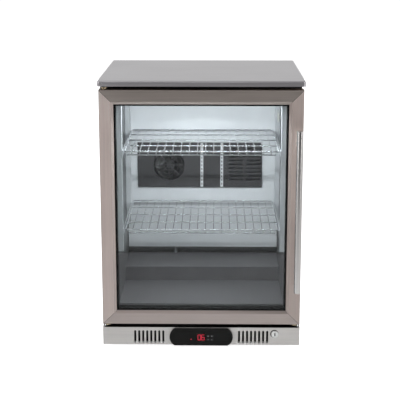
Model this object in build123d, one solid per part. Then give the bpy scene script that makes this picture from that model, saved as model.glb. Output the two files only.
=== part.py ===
from build123d import *
import os

# Undercounter refrigerator with one glass door, two wire shelves and a fan-cooled cabinet.
# Millimetres. X runs to the right, -Y is the front, +Z is up.
# The origin is on the floor, below the middle of the overall box.

# ---- overall size ----
WIDTH = 600.0                  # across the worktop
HEIGHT = 820.0                 # floor to worktop
WORKTOP_DEPTH = 520.0
HANDLE_REACH = 44.0            # how far the handle stands in front of the worktop's edge
FRONT = -(WORKTOP_DEPTH + HANDLE_REACH) / 2 + HANDLE_REACH   # front edge of the worktop
REAR = FRONT + WORKTOP_DEPTH                                 # rear edge of the worktop

# ---- sheets, gaps and fits ----
SHEET = 1.2                    # stainless and galvanised sheet
LINER = 1.2                    # inner liner
PAN_SHEET = 1.5
BODY_GAP = 0.3                 # between faces of pieces that move apart
RUNNING_FIT = 0.05             # radial clearance of a turning or sliding round piece
SMALL_FIT = 0.2                # between pieces that are assembled and stay put
CUT = 1.0                      # how far a cutting shape passes through

# ---- worktop ----
WORKTOP_THICK = 16.0
WORKTOP_Z = HEIGHT - WORKTOP_THICK
WORKTOP_EDGE_RADIUS = 5.0
WORKTOP_CORNER_RADIUS = 7.0
WORKTOP_SKIN = 2.2             # skin above the core

# ---- door ----
DOOR_WIDTH = 591.0
DOOR_Z0 = 85.0
DOOR_Z1 = 793.5
DOOR_THICK = 42.0
DOOR_FACE_SETBACK = 2.0        # door face behind the worktop's front edge
DOOR_Y0 = FRONT + DOOR_FACE_SETBACK
DOOR_Y1 = DOOR_Y0 + DOOR_THICK
FRAME_FACE = 42.0              # width of the mitred stainless frame
FRAME_SHEET = 1.5
BEVEL_WIDTH = 8.0              # sloping inner edge of the frame
BEVEL_DEPTH = 6.0
PANE = 4.0                     # glass thickness
PANE_GAP = 12.0                # between the two panes
PANE_INSET = 32.0              # pane edge from the door's outer edge
GLASS_BACK = BEVEL_DEPTH + 2 * PANE + PANE_GAP    # back of the inner pane, from the face
FRAME_EDGE = 1.0               # bevel on the frame's outer edge
SPACER_INSET = 47.0            # inner edge of the spacer and of the inner frame
PROFILE_WALL = 2.5             # wall of the hollow inner frame
KEY_LEG = 30.0                 # leg of a corner key inside a hollow profile

# ---- cabinet ----
CABINET_HALF = 293.0           # outer faces of the side panels
GASKET_THICK = 9.7
GASKET_FOOT = (16.5, 34.5)     # its foot and its face, in from the door's edge
GASKET_FACE = (20.0, 31.0)
GASKET_FOOT_THICK = 3.0
CABINET_Y0 = DOOR_Y1 + GASKET_THICK + BODY_GAP
CABINET_Y1 = REAR - 4.0
BASE_Z = 20.0                  # underside of the base pan
LINER_HALF = 252.0             # inner width is twice this
CEILING_Z = 758.0
FLOOR_Z = 131.0                # top of the floor tub
HUMP_Z = 177.0                 # top of the raised rear step over the compressor
HUMP_Y = CABINET_Y0 + 236.0    # front face of the step
TUB_WALL = 3.0
BACK_WALL_Y = CABINET_Y0 + 386.0          # front face of the evaporator cover
LINER_BACK_Y = BACK_WALL_Y + 40.0
FLOOR_FOAM = 29.0
TUB_SETBACK = 4.0              # front of the tub behind the cabinet's front
ROOM_STEP_Y = HUMP_Y + LINER + FLOOR_FOAM     # the machine room is taller behind this line
SKIRT_FRONT_Z = 287.0          # the tub's side skirts rise towards the door

# ---- hinge ----
HINGE_X = -DOOR_WIDTH / 2 + 14.5
HINGE_Y = DOOR_Y0 + DOOR_THICK / 2
PIN_RADIUS = 4.0
PIN_LENGTH = 26.0
BUSH_RADIUS = 6.0
BUSH_LENGTH = 24.0
HOLE_DEPTH = 5.0               # through the door's sheet round each bush
BRACKET_THICK = 3.0
BRACKET_GAP = 3.5              # between the door and a bracket
BRACKET_EYE = 11.0             # rounded end over the hinge line
TONGUE_RIGHT = 24.0            # tongue and flange, from the hinge line
FLANGE_RIGHT = 44.0
FLANGE_HEIGHT = (18.0, 14.0)   # bottom bracket's and top bracket's flanges
TORSION_ROD_RADIUS = 2.5
TORSION_ROD_GAP = 6.0          # above the bottom bush
TORSION_ROD_TOP = 560.0
TORSION_KEY = (9.0, 3.0)       # half sizes of the flat end in X and Y
TORSION_KEY_HEIGHT = 6.0

# ---- handle ----
HANDLE_RADIUS = 9.5
HANDLE_X = 283.0
HANDLE_Z0 = 197.0
HANDLE_Z1 = 682.0
HANDLE_Y = FRONT - HANDLE_REACH + HANDLE_RADIUS
POST_RADIUS = 6.0
HANDLE_END_EDGE = 1.0
POST_SOCKET = 3.0              # how deep a post is let into the bar
POST_Z = (252.0, 639.0)

# ---- kick panel ----
KICK_HALF = 296.0
KICK_Z0 = 20.0
KICK_Z1 = 75.0
SILL_Z0 = KICK_Z1 + 3.0        # lower edge of the cabinet's front frame
KICK_Y0 = DOOR_Y0
KICK_FLANGE = 14.0
SLOT_COUNT = 8
SLOT_PITCH = 12.1
SLOT_WIDTH = 6.2
SLOT_HEIGHT = 40.0
SLOT_Z = 45.0
SLOT_GROUP_X = 156.5
SLOT_TUNNEL_WALL = 1.0
KICK_EDGE = 2.0
KICK_GAP = 2.0                 # behind the kick panel, to the cabinet's front
BEZEL_OPENING = 6.0            # opening behind the bezel, inside its outline

# ---- controller ----
BEZEL_HALF = 95.0
BEZEL_HEIGHT = 52.0
BEZEL_Z = 46.0
BEZEL_PROUD = 11.0
BEZEL_BEVEL = 3.0
BEZEL_END_BULGE = 15.0         # how far each rounded end bulges past the straight edges
BEZEL_WALL = 2.5
BEZEL_Y0 = KICK_Y0 - BEZEL_PROUD
BEZEL_SKIN = 3.5               # front wall
WINDOW_HALF = 14.0
WINDOW_Z = BEZEL_Z + 1.0
WINDOW_HEIGHT = 26.0
WINDOW_THICK = 1.5
WINDOW_RECESS = 1.0
DIGIT_HEIGHT = 16.0
DIGIT_WIDTH = 8.0
DIGIT_STROKE = 1.6
DIGIT_SPACING = 11.0
DIGIT_PROUD = 0.6
INDICATOR_X = -30.0
INDICATOR_Z = 41.0
INDICATOR_RADIUS = 1.6
INDICATOR_LENGTH = 4.0
INDICATOR_GAP = 0.1
BUTTON_SIZE = (8.0, 7.0)
BUTTON_X = (21.0, 32.0)
BUTTON_Z = (40.5, 51.5)
BUTTON_DEPTH = 5.0
BUTTON_PROUD = 0.9
BUTTON_GAP = 0.3
BUTTON_EDGE = 0.6
BOARD_HALF = (60.0, 14.0)      # half sizes in X and Z
BOARD_THICK = 1.6
BOARD_GAP = 1.2                # behind the buttons
BOARD_PART_X = (-50.0, -32.0, 44.0)    # left edges of the parts on the board
BOARD_PART = (12.0, 8.0)       # their width and depth
BOARD_PART_Z = (-8.0, 4.0)
BUTTON_NAMES = (("button_down", "button_light"), ("button_up", "button_set"))

# ---- lock ----
LOCK_X = 222.0
LOCK_Z = 54.0
LOCK_FLANGE_RADIUS = 10.8
LOCK_BARREL_RADIUS = 8.9
LOCK_PLUG_RADIUS = 7.0
LOCK_REAR_Y = KICK_Y0 + 24.0
LOCK_FLANGE_PROUD = 3.0
LOCK_FLANGE_BEVEL = 1.2
LOCK_PLUG_PROUD = 2.2
LOCK_NUT_RADIUS = 13.0
LOCK_NUT_THICK = 4.0
KEYWAY_HALF = (1.1, 4.5)       # half width and half height
KEYWAY_DEPTH = 12.0
CAM_LENGTH = 40.0
CAM_WIDTH = 12.0
CAM_THICK = 2.5
CAM_EYE_RADIUS = 8.5
CAM_SLOT_LEFT = 28.0           # the cam sweeps into the door from the left
CAM_SLOT_RIGHT = 8.0
CAM_SLOT_WIDTH = 9.0
CAM_SLOT_DEPTH = 12.0

# ---- shelves ----
SHELF_Z = (362.0, 602.0)       # centre of the frame wire, lower and upper shelf
SHELF_HALF = 231.0
SHELF_Y0 = CABINET_Y0 + 10.5
SHELF_Y1 = BACK_WALL_Y - 12.0
FRAME_WIRE = 2.5               # wire radii
CROSS_WIRE = 2.0
DECK_WIRE = 1.6
DECK_COUNT = 18
CROSS_COUNT = 3
CROSS_SINK = 0.4               # cross wires below the frame wire's middle
SHELF_BEND = 10.0              # corner radius of the frame wire
FRONT_DROP = 10.0              # lower front wire below the frame wire
FRONT_SETBACK = 0.5
PILASTER_PROUD = 15.0
PILASTER_WIDTH = 20.0
PILASTER_Z0 = 290.0
PILASTER_Y = (CABINET_Y0 + 26.0, BACK_WALL_Y - 42.0)
PILASTER_Z1 = CEILING_Z - 4.0
PILASTER_SLOT_PITCH = 25.0
PILASTER_SLOT_HALF = 1.5
PILASTER_SLOT_HEIGHT = 12.0
RAIL_SHEET = 1.5
RAIL_FLANGE = 9.0
RAIL_WEB = 18.0

# ---- light ----
LED_HALF = 215.0
LED_Y = CABINET_Y0 + 28.0
LED_WIDTH = 30.0
LED_HEIGHT = 14.0
LED_LENS_WIDTH = 18.0
LED_LENS_THICK = 3.0
LED_LENS_PROUD = 1.0
LED_END = 4.0                  # closed end of the housing
LED_ROOF = 3.0

# ---- evaporator ----
COVER_HALF = 249.0
COVER_Z0 = 200.0
COVER_Z1 = 742.0
COVER_SHEET = 1.2
PANEL_X = -10.0                # middle of the dark fan panel
PANEL_HALF = 206.0
PANEL_Z0 = 407.0
PANEL_Z1 = 558.0
PANEL_THICK = 6.0
PANEL_EDGE_RADIUS = 2.0
EVAP_FAN_X = -112.0
EVAP_FAN_Z = (PANEL_Z0 + PANEL_Z1) / 2
EVAP_FAN_RADIUS = 52.0
FAN_OPENING_GAP = 3.0          # the cover's opening is this much larger than the panel's
STRIP_X = (-3.0, 63.0)
STRIP_WIDTH = 9.0
STRIP_INSET = 2.0              # strip ends from the panel's ends
STRIP_SLOT = (3.0, 7.0)        # width and height of a slot in a strip
STRIP_SLOT_PITCH = 12.5
GUARD_RINGS = (19.0, 32.0, 45.0)   # outer radii of the fan guard's rings
GUARD_WIDTH = 2.5
GUARD_THICK = 2.0
GUARD_SPOKES = 4               # bars across the fan opening
SPOKE_WIDTH = 3.0
LOUVRE_X = 85.0                # left end of the first column of louvres
LOUVRE_COLUMNS = 2
LOUVRE_COLUMN_PITCH = 60.0
LOUVRE_ROWS = 9
LOUVRE_PITCH = 13.0
LOUVRE_SIZE = (46.0, 5.0)
LOUVRE_MARGIN = 24.0           # lowest louvre above the panel's lower edge
COIL_HALF = 190.0
COIL_Z0 = 250.0
COIL_Z1 = 370.0
COIL_DEPTH = 28.0
COIL_SETBACK = 5.0             # behind the cover's sheet
COIL_FIN_PITCH = 14.0
FIN_THICK = 0.8
COIL_TUBE_RADIUS = 4.0
COIL_TUBE_PITCH = 26.0         # between rows of tubes
COIL_COLUMNS = (0.28, 0.72)    # places of the two columns across the coil's thickness
COIL_OVERHANG = 8.0            # tubes past the last fin

# ---- temperature probe ----
PROBE_REACH = 8.0              # its axis from the side wall
PROBE_Y = BACK_WALL_Y - 70.0
PROBE_Z = 654.0
PROBE_LENGTH = 28.0
PROBE_RADIUS = 3.0
PROBE_CLIP = 8.0

# ---- machine room ----
PAN_SETBACK = 16.0             # front of the base pan behind the kick panel's face
PAN_HEIGHT = 22.0
BOSS_HEIGHT = 8.0
BOSS_WALL = 5.0
COMPRESSOR_X = 50.0
COMPRESSOR_Y = CABINET_Y1 - 98.0
COMPRESSOR_RADIUS = 66.0
COMPRESSOR_Z0 = 31.0
COMPRESSOR_HEIGHT = 110.0
COMPRESSOR_DOME = 24.0         # edge radius of the shell
SHELL_SEAM_PROUD = 4.0
SHELL_SEAM_HALF = 2.0
PLATE_HALF = (84.0, 60.0)      # mounting plate, half sizes in X and Y
PLATE_RISE = 5.0               # above the shell's bottom
PLATE_SHEET = 3.0
PLATE_CORNER = 10.0
LUG_OFFSET = (72.0, 50.0)
LUG_STUD_RADIUS = 5.0
LUG_STUD_RISE = 10.0
LUG_RUBBER_RADIUS = 10.0
LUG_GAP = 0.1                  # rubber to plate
TERMINAL_HALF = 28.0
TERMINAL_THICK = 26.0
TERMINAL_RISE = 14.0
TERMINAL_HEIGHT = 56.0
TERMINAL_EDGE = 4.0
CONDENSER_X0 = -242.0
CONDENSER_THICK = 40.0
CONDENSER_HALF_Y = 74.0
CONDENSER_Y = CABINET_Y1 - 104.0
CONDENSER_Z0 = 26.0
CONDENSER_Z1 = 142.0
CONDENSER_FIN_PITCH = 8.0
COND_FAN_RADIUS = 50.0
COND_FAN_Z = (CONDENSER_Z0 + CONDENSER_Z1) / 2
FAN_DEPTH = 16.0
FAN_BLADES = 5
FAN_HUB = 0.32                 # hub radius as a share of the fan's
BLADE_ANGLE = 38.0
BLADE_THICK = 1.6
FAN_GAP = 1.0                  # in front of and behind a fan
GUARD_FAN_GAP = 4.0            # evaporator fan's tips inside the opening
SHAFT_RADIUS = 2.0
MOTOR_RADIUS = 20.0
MOTOR_LENGTH = 26.0
MOTOR_EDGE = 3.0
MOTOR_BACK_GAP = 2.0           # flat motor to the liner
SHROUD_X = CONDENSER_X0 + CONDENSER_THICK + 2.0
SHROUD_SHEET = 2.0
SHROUD_DEPTH = 22.0
SHROUD_GAP = 3.0               # round the fan's tips
SHROUD_ARMS = 3
SHROUD_ARM_HALF = 4.0
COND_FAN_X = SHROUD_X + 12.0
TUBE_RADIUS = 3.0
SUCTION_RADIUS = 4.0
TUBE_BEND = 9.0
TIGHT_BEND = 3.9               # the discharge tube's corners
DISCHARGE_Z = 91.0
DISCHARGE_OFFSET = 20.0        # in front of the compressor's axis
DISCHARGE_RUN = 24.0           # first corner, away from the shell
TUBE_FRONT_Y = CONDENSER_Y - CONDENSER_HALF_Y - 16.0
TUBE_INTO_COIL = 8.0
DISCHARGE_X = CONDENSER_X0 + 30.0      # where each tube joins the condenser
OUTLET_X = CONDENSER_X0 + 16.0
OUTLET_Y = TUBE_FRONT_Y - 16.0
OUTLET_Z = 60.0
DRIER_X = COMPRESSOR_X - COMPRESSOR_RADIUS - 50.0
DRIER_LENGTH = 60.0
DRIER_RADIUS = 9.0
DRIER_EDGE = 5.0
SUCTION_X = COMPRESSOR_X + 20.0
SUCTION_Y = ROOM_STEP_Y + 8.0
SUCTION_Z = (71.0, 135.0)      # at the shell, and behind the raised step
SUCTION_RUN = 70.0

# ---- drain ----
DRAIN_X = -92.0
DRAIN_Y = BACK_WALL_Y + 20.0
DRAIN_RADIUS = 6.0
DRAIN_BORE = 4.5
DRAIN_Z0 = HUMP_Z - FLOOR_FOAM - 12.0
TROUGH_Z = 206.0
TROUGH_DEPTH = 16.0
TROUGH_HALF = COIL_HALF + 14.0
TROUGH_GAP = 1.0               # to the cover and the liner
DRAIN_WALL = 2.0               # wall of the trough and of the pan
PAN_DEPTH = 30.0
PAN_HALF = (42.0, 45.0)

# ---- feet ----
FOOT_X = 255.0
FOOT_Y = (CABINET_Y0 + 24.0, CABINET_Y1 - 42.0)
FOOT_PAD_RADIUS = 19.0
FOOT_PAD_HEIGHT = 8.0
FOOT_STUD_RADIUS = 5.0
FOOT_STUD_TOP = 42.0
FOOT_EDGE = 3.0
FOOT_NUT_RADIUS = 9.0
FOOT_NUT_THICK = 5.0

# ---- rear ----
INLET_X = 205.0
INLET_Z = 60.0
INLET_WIDTH = 28.0
INLET_HEIGHT = 20.0
INLET_WALL = 2.0
INLET_DEPTH = 22.0             # behind the grille's face
INLET_LIP_SIDE = 11.0          # the lip's two ears carry its screws
INLET_LIP = 2.0
INLET_PROUD = 2.5
INLET_RECESS = 15.0
INLET_PIN_PITCH = 7.0
INLET_PIN_SIZE = (2.0, 4.0)    # width and height
INLET_PIN_DROP = 2.0           # outer pins below the middle, earth pin above it
GRILLE_ROWS = 6
GRILLE_ROW_PITCH = 14.0
GRILLE_Z = 48.0                # underside of the lowest slots
GRILLE_COLUMNS = 5
GRILLE_COLUMN_PITCH = 74.0
GRILLE_X = -240.0
GRILLE_SLOT = (62.0, 6.0)      # width and height
GRILLE_GAP = 0.5               # below the back panel
SCREW_RADIUS = 4.0
SCREW_HEIGHT = 2.5
SCREW_EDGE = 1.5
SCREW_RECESS = 1.3             # depth of the cross
SCREW_CROSS = (2.5, 0.5)       # half length and half width of each arm
SCREW_INSET = 12.0             # from the cabinet's edge


# ---- helpers ----
def block(x0, x1, y0, y1, z0, z1):
    """A box between two corners."""
    middle = Pos((x0 + x1) / 2, (y0 + y1) / 2, (z0 + z1) / 2)
    return middle * Box(x1 - x0, y1 - y0, z1 - z0)


def rod(start, end, radius):
    """A round bar from one point to another."""
    line = Vector(*end) - Vector(*start)
    bottom = (Align.CENTER, Align.CENTER, Align.MIN)
    return Plane(origin=start, z_dir=line) * Cylinder(radius, line.length, align=bottom)


def prism_x(points, x0, x1):
    """An outline of (y, z) points, extruded along X."""
    face = Plane.YZ * Polygon(*points)
    return Pos(x0, 0, 0) * extrude(face, amount=x1 - x0, dir=(1, 0, 0))


def prism_y(points, y0, y1):
    """An outline of (x, z) points, extruded along Y."""
    face = Plane.XZ * Polygon(*points)
    return Pos(0, y0, 0) * extrude(face, amount=y1 - y0, dir=(0, 1, 0))


def prism_z(points, z0, z1):
    """An outline of (x, y) points, extruded along Z."""
    face = Plane.XY * Polygon(*points)
    return Pos(0, 0, z0) * extrude(face, amount=z1 - z0, dir=(0, 0, 1))


def stadium_y(x, z, width, height, y0, y1):
    """An upright slot shape, extruded along Y."""
    face = Plane.XZ * SlotOverall(height, width, rotation=90)
    return Pos(x, y0, z) * extrude(face, amount=y1 - y0, dir=(0, 1, 0))


def mirrored(piece):
    """The same piece on the other side of the cabinet."""
    return mirror(piece, about=Plane.YZ)


def group(pieces):
    """Separate solids that share one node."""
    return Compound(children=list(pieces))


def write(name, piece):
    """Write one node."""
    export_step(piece, os.path.join("parts", name + ".step"))


def door_bars(section, chamber=None):
    """Four bars round the door, mitred at 45 degrees, from one section.

    The section's points are (inward from the door's outer edge, backward from its face).
    """
    half = DOOR_WIDTH / 2
    reach = max(point[0] for point in section) + CUT

    def bar(side, outline):
        if side in ("left", "right"):
            points = [(-half + u, DOOR_Y0 + v) for u, v in outline]
            solid = prism_z(points, DOOR_Z0, DOOR_Z1)
            corners = [
                (-half, DOOR_Z0), (-half + reach, DOOR_Z0 + reach),
                (-half + reach, DOOR_Z1 - reach), (-half, DOOR_Z1),
            ]
        else:
            points = [(DOOR_Y0 + v, DOOR_Z0 + u) for u, v in outline]
            if side == "top":
                points = [(DOOR_Y0 + v, DOOR_Z1 - u) for u, v in outline]
            solid = prism_x(points, -half, half)
            corners = [
                (-half, DOOR_Z0), (half, DOOR_Z0),
                (half - reach, DOOR_Z0 + reach), (-half + reach, DOOR_Z0 + reach),
            ]
            if side == "top":
                corners = [(x, DOOR_Z0 + DOOR_Z1 - z) for x, z in corners]
        solid = solid & prism_y(corners, DOOR_Y0 - CUT, DOOR_Y1 + GASKET_THICK + CUT)
        return mirrored(solid) if side == "right" else solid

    bars = {}
    for side in ("top", "bottom", "left", "right"):
        bars[side] = bar(side, section)
        if chamber:
            bars[side] = bars[side] - bar(side, chamber)
    return bars


# ---- worktop ----
def make_worktop():
    """A thin stainless skin folded over a core board."""
    half = WIDTH / 2
    slab = block(-half, half, FRONT, REAR, WORKTOP_Z, HEIGHT)
    slab = fillet(slab.edges().filter_by(Axis.Z), WORKTOP_CORNER_RADIUS)
    slab = fillet(slab.edges().group_by(Axis.Z)[-1], WORKTOP_EDGE_RADIUS)
    inset = WORKTOP_CORNER_RADIUS / 2
    core = block(-half + inset, half - inset, FRONT + inset, REAR - inset, WORKTOP_Z, HEIGHT - WORKTOP_SKIN)
    write("worktop_skin", slab - core)
    write("worktop_core", core)


# ---- cabinet shell ----
def make_shell():
    """Outer side panels, back panel and the front frame the door seals against."""
    y0 = CABINET_Y0 + SHEET
    y1 = CABINET_Y1 - SHEET
    side = block(CABINET_HALF - SHEET, CABINET_HALF, y0, y1, BASE_Z, WORKTOP_Z)
    write("side_panels", group([mirrored(side), side]))

    room_top = HUMP_Z - TUB_WALL - LINER - FLOOR_FOAM
    back = block(-CABINET_HALF, CABINET_HALF, CABINET_Y1 - SHEET, CABINET_Y1, room_top, WORKTOP_Z)
    write("back_panel", back)

    y0 = CABINET_Y0
    y1 = CABINET_Y0 + SHEET
    side = block(LINER_HALF, CABINET_HALF, y0, y1, SILL_Z0, WORKTOP_Z)
    top = block(-LINER_HALF, LINER_HALF, y0, y1, CEILING_Z, WORKTOP_Z)
    sill = block(-LINER_HALF, LINER_HALF, y0, y1, SILL_Z0, FLOOR_Z - TUB_WALL)
    write("front_frame", group([mirrored(side), side, top, sill]))


def cavity_outline(grow):
    """The (y, z) outline of the inner space, grown outwards on every side but the front."""
    floor = FLOOR_Z - TUB_WALL - grow
    hump = HUMP_Z - TUB_WALL - grow
    front = CABINET_Y0 + SHEET
    return [
        (front, floor), (HUMP_Y + grow, floor), (HUMP_Y + grow, hump),
        (LINER_BACK_Y + grow, hump), (LINER_BACK_Y + grow, CEILING_Z + grow),
        (front, CEILING_Z + grow),
    ]


def drain_hole(z0, z1):
    """Clears the drain tube through the liner and the foam."""
    return rod((DRAIN_X, DRAIN_Y, z0), (DRAIN_X, DRAIN_Y, z1), DRAIN_RADIUS + SMALL_FIT)


def make_insulation():
    """The inner liner and the foam around it."""
    grown = LINER_HALF + LINER
    front = CABINET_Y0 + SHEET
    rear = CABINET_Y1 - SHEET
    outer = CABINET_HALF - SHEET
    top = WORKTOP_Z
    hump_bottom = HUMP_Z - TUB_WALL - LINER - FLOOR_FOAM
    floor_bottom = FLOOR_Z - TUB_WALL - LINER - FLOOR_FOAM
    floor_top = FLOOR_Z - TUB_WALL - LINER
    hump_top = HUMP_Z - TUB_WALL - LINER

    liner = prism_x(cavity_outline(LINER), -grown, grown)
    liner -= prism_x(cavity_outline(0), -LINER_HALF, LINER_HALF)
    liner -= drain_hole(hump_bottom, HUMP_Z)
    write("inner_liner", liner)

    side = block(grown, outer, front, rear, floor_bottom, top)
    ceiling = block(-grown, grown, front, rear, CEILING_Z + LINER, top)
    back = block(-grown, grown, LINER_BACK_Y + LINER, rear, hump_bottom, CEILING_Z + LINER)
    floor = block(-grown, grown, front, HUMP_Y + LINER, floor_bottom, floor_top)
    riser = block(-grown, grown, HUMP_Y + LINER, ROOM_STEP_Y, floor_bottom, hump_top)
    step = block(-grown, grown, ROOM_STEP_Y, LINER_BACK_Y + LINER, hump_bottom, hump_top)
    step -= drain_hole(hump_bottom - CUT, hump_top + CUT)
    write("foam_insulation", group([mirrored(side), side, ceiling, back, floor, riser, step]))


def make_floor_tub():
    """The dark tub: floor, rear step and side skirts that rise towards the door."""
    y0 = CABINET_Y0 + TUB_SETBACK
    y1 = BACK_WALL_Y - SMALL_FIT
    low = FLOOR_Z - TUB_WALL
    half = LINER_HALF - SMALL_FIT
    step = [
        (y0, low), (HUMP_Y - SMALL_FIT, low), (HUMP_Y - SMALL_FIT, HUMP_Z - TUB_WALL),
        (y1, HUMP_Z - TUB_WALL), (y1, HUMP_Z), (HUMP_Y - TUB_WALL, HUMP_Z),
        (HUMP_Y - TUB_WALL, FLOOR_Z), (y0, FLOOR_Z),
    ]
    skirt = [
        (y0, low), (HUMP_Y - SMALL_FIT, low), (HUMP_Y - SMALL_FIT, HUMP_Z - TUB_WALL),
        (y1, HUMP_Z - TUB_WALL), (y1, HUMP_Z), (y0, SKIRT_FRONT_Z),
    ]
    tub = prism_x(step, -half, half)
    tub += prism_x(skirt, half - TUB_WALL, half)
    tub += prism_x(skirt, -half, -half + TUB_WALL)
    write("floor_tub", tub)


# ---- shelf supports and shelves ----
def make_pilaster(y):
    """A slotted channel, open towards the side wall."""
    x1 = LINER_HALF - SMALL_FIT
    x0 = LINER_HALF - PILASTER_PROUD
    z0 = PILASTER_Z0
    z1 = PILASTER_Z1
    channel = block(x0, x1, y, y + PILASTER_WIDTH, z0, z1)
    channel -= block(x0 + SHEET, x1 + CUT, y + SHEET, y + PILASTER_WIDTH - SHEET, z0 - CUT, z1 + CUT)
    slot_y0 = y + PILASTER_WIDTH / 2 - PILASTER_SLOT_HALF
    slot_y1 = slot_y0 + 2 * PILASTER_SLOT_HALF
    count = int((z1 - z0) / PILASTER_SLOT_PITCH) - 1
    for index in range(count):
        z = z0 + PILASTER_SLOT_PITCH * (index + 1)
        channel -= block(x0 - CUT, x0 + SHEET + CUT, slot_y0, slot_y1, z, z + PILASTER_SLOT_HEIGHT)
    return channel


def make_shelf_supports():
    """Four slotted channels and, for each shelf, a rail on each side."""
    pieces = []
    for y in PILASTER_Y:
        channel = make_pilaster(y)
        pieces += [mirrored(channel), channel]
    x1 = LINER_HALF - PILASTER_PROUD
    y0 = PILASTER_Y[0]
    y1 = PILASTER_Y[1] + PILASTER_WIDTH
    for shelf_z in SHELF_Z:
        z1 = shelf_z - FRAME_WIRE - BODY_GAP
        rail = block(x1 - RAIL_FLANGE, x1, y0, y1, z1 - RAIL_SHEET, z1)
        rail += block(x1 - RAIL_SHEET, x1, y0, y1, z1 - RAIL_WEB, z1)
        pieces += [mirrored(rail), rail]
    write("shelf_supports", group(pieces))


def make_shelf(z):
    """A wire deck on a bent wire frame, with a second wire below its front edge."""
    x = SHELF_HALF
    y0 = SHELF_Y0
    y1 = SHELF_Y1
    corners = [(-x, y0, z), (x, y0, z), (x, y1, z), (-x, y1, z)]
    frame_path = FilletPolyline(*corners, radius=SHELF_BEND, close=True)
    start = Plane(origin=frame_path @ 0, z_dir=frame_path % 0)
    shelf = sweep(start * Circle(FRAME_WIRE), path=frame_path)
    drop_y = y0 + FRONT_SETBACK
    drop_z = z - FRONT_DROP
    shelf += rod((-x + SHELF_BEND, drop_y, drop_z), (x - SHELF_BEND, drop_y, drop_z), CROSS_WIRE)
    deck_z = z + FRAME_WIRE - DECK_WIRE / 2
    cross_z = z - CROSS_SINK
    for index in range(CROSS_COUNT):
        y = y0 + (y1 - y0) * (index + 1) / (CROSS_COUNT + 1)
        shelf += rod((-x, y, cross_z), (x, y, cross_z), CROSS_WIRE)
    pitch = 2 * x / (DECK_COUNT + 1)
    for index in range(DECK_COUNT):
        wire_x = -x + pitch * (index + 1)
        shelf += rod((wire_x, y0, deck_z), (wire_x, y1, deck_z), DECK_WIRE)
        shelf += rod((wire_x, drop_y, drop_z), (wire_x, drop_y, deck_z), DECK_WIRE)
    return shelf


def make_shelves():
    """The lower and the upper shelf."""
    write("shelf_lower", make_shelf(SHELF_Z[0]))
    write("shelf_upper", make_shelf(SHELF_Z[1]))


# ---- light ----
def make_light():
    """A strip light under the ceiling, behind the door's top rail."""
    y0 = LED_Y - LED_WIDTH / 2
    y1 = LED_Y + LED_WIDTH / 2
    z0 = CEILING_Z - LED_HEIGHT
    housing = block(-LED_HALF, LED_HALF, y0, y1, z0, CEILING_Z)
    half = LED_LENS_WIDTH / 2
    length = LED_HALF - LED_END
    lens_z = z0 - LED_LENS_PROUD
    lens = block(-length, length, LED_Y - half, LED_Y + half, lens_z, lens_z + LED_LENS_THICK)
    channel = block(-length, length, LED_Y - half, LED_Y + half, lens_z, CEILING_Z - LED_ROOF)
    write("led_housing", housing - channel)
    write("led_lens", lens)


# ---- evaporator and fans ----
def make_evaporator_cover():
    """A folded sheet across the back, open behind the fan and the louvres, and two slotted strips."""
    y0 = BACK_WALL_Y
    y1 = LINER_BACK_Y - SMALL_FIT
    cover = block(-COVER_HALF, COVER_HALF, y0, y1, COVER_Z0, COVER_Z1)
    inner = COVER_HALF - COVER_SHEET
    cover -= block(-inner, inner, y0 + COVER_SHEET, y1 + CUT, COVER_Z0 - CUT, COVER_Z1 + CUT)
    fan_start = (EVAP_FAN_X, y0 - CUT, EVAP_FAN_Z)
    fan_end = (EVAP_FAN_X, y0 + COVER_SHEET + CUT, EVAP_FAN_Z)
    cover -= rod(fan_start, fan_end, EVAP_FAN_RADIUS + FAN_OPENING_GAP)
    louvre_x1 = LOUVRE_X + LOUVRE_COLUMN_PITCH * (LOUVRE_COLUMNS - 1) + LOUVRE_SIZE[0]
    louvre_z0 = PANEL_Z0 + LOUVRE_MARGIN
    louvre_z1 = louvre_z0 + LOUVRE_PITCH * LOUVRE_ROWS
    cover -= block(LOUVRE_X, louvre_x1, y0 - CUT, y0 + COVER_SHEET + CUT, louvre_z0, louvre_z1)
    strips = []
    panel_y = BACK_WALL_Y - PANEL_THICK
    half = STRIP_WIDTH / 2
    slot_half = STRIP_SLOT[0] / 2
    slot_rise = STRIP_SLOT[1] / 2
    count = int((PANEL_Z1 - PANEL_Z0) / STRIP_SLOT_PITCH) - 1
    for x in STRIP_X:
        strip = block(
            x - half, x + half, panel_y - SHEET, panel_y, PANEL_Z0 + STRIP_INSET, PANEL_Z1 - STRIP_INSET)
        for index in range(count):
            z = PANEL_Z0 + STRIP_SLOT_PITCH * (index + 1)
            strip -= block(
                x - slot_half, x + slot_half, panel_y - SHEET - CUT, panel_y + CUT,
                z - slot_rise, z + slot_rise)
        strips.append(strip)
    write("evaporator_cover", group([cover] + strips))


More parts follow.
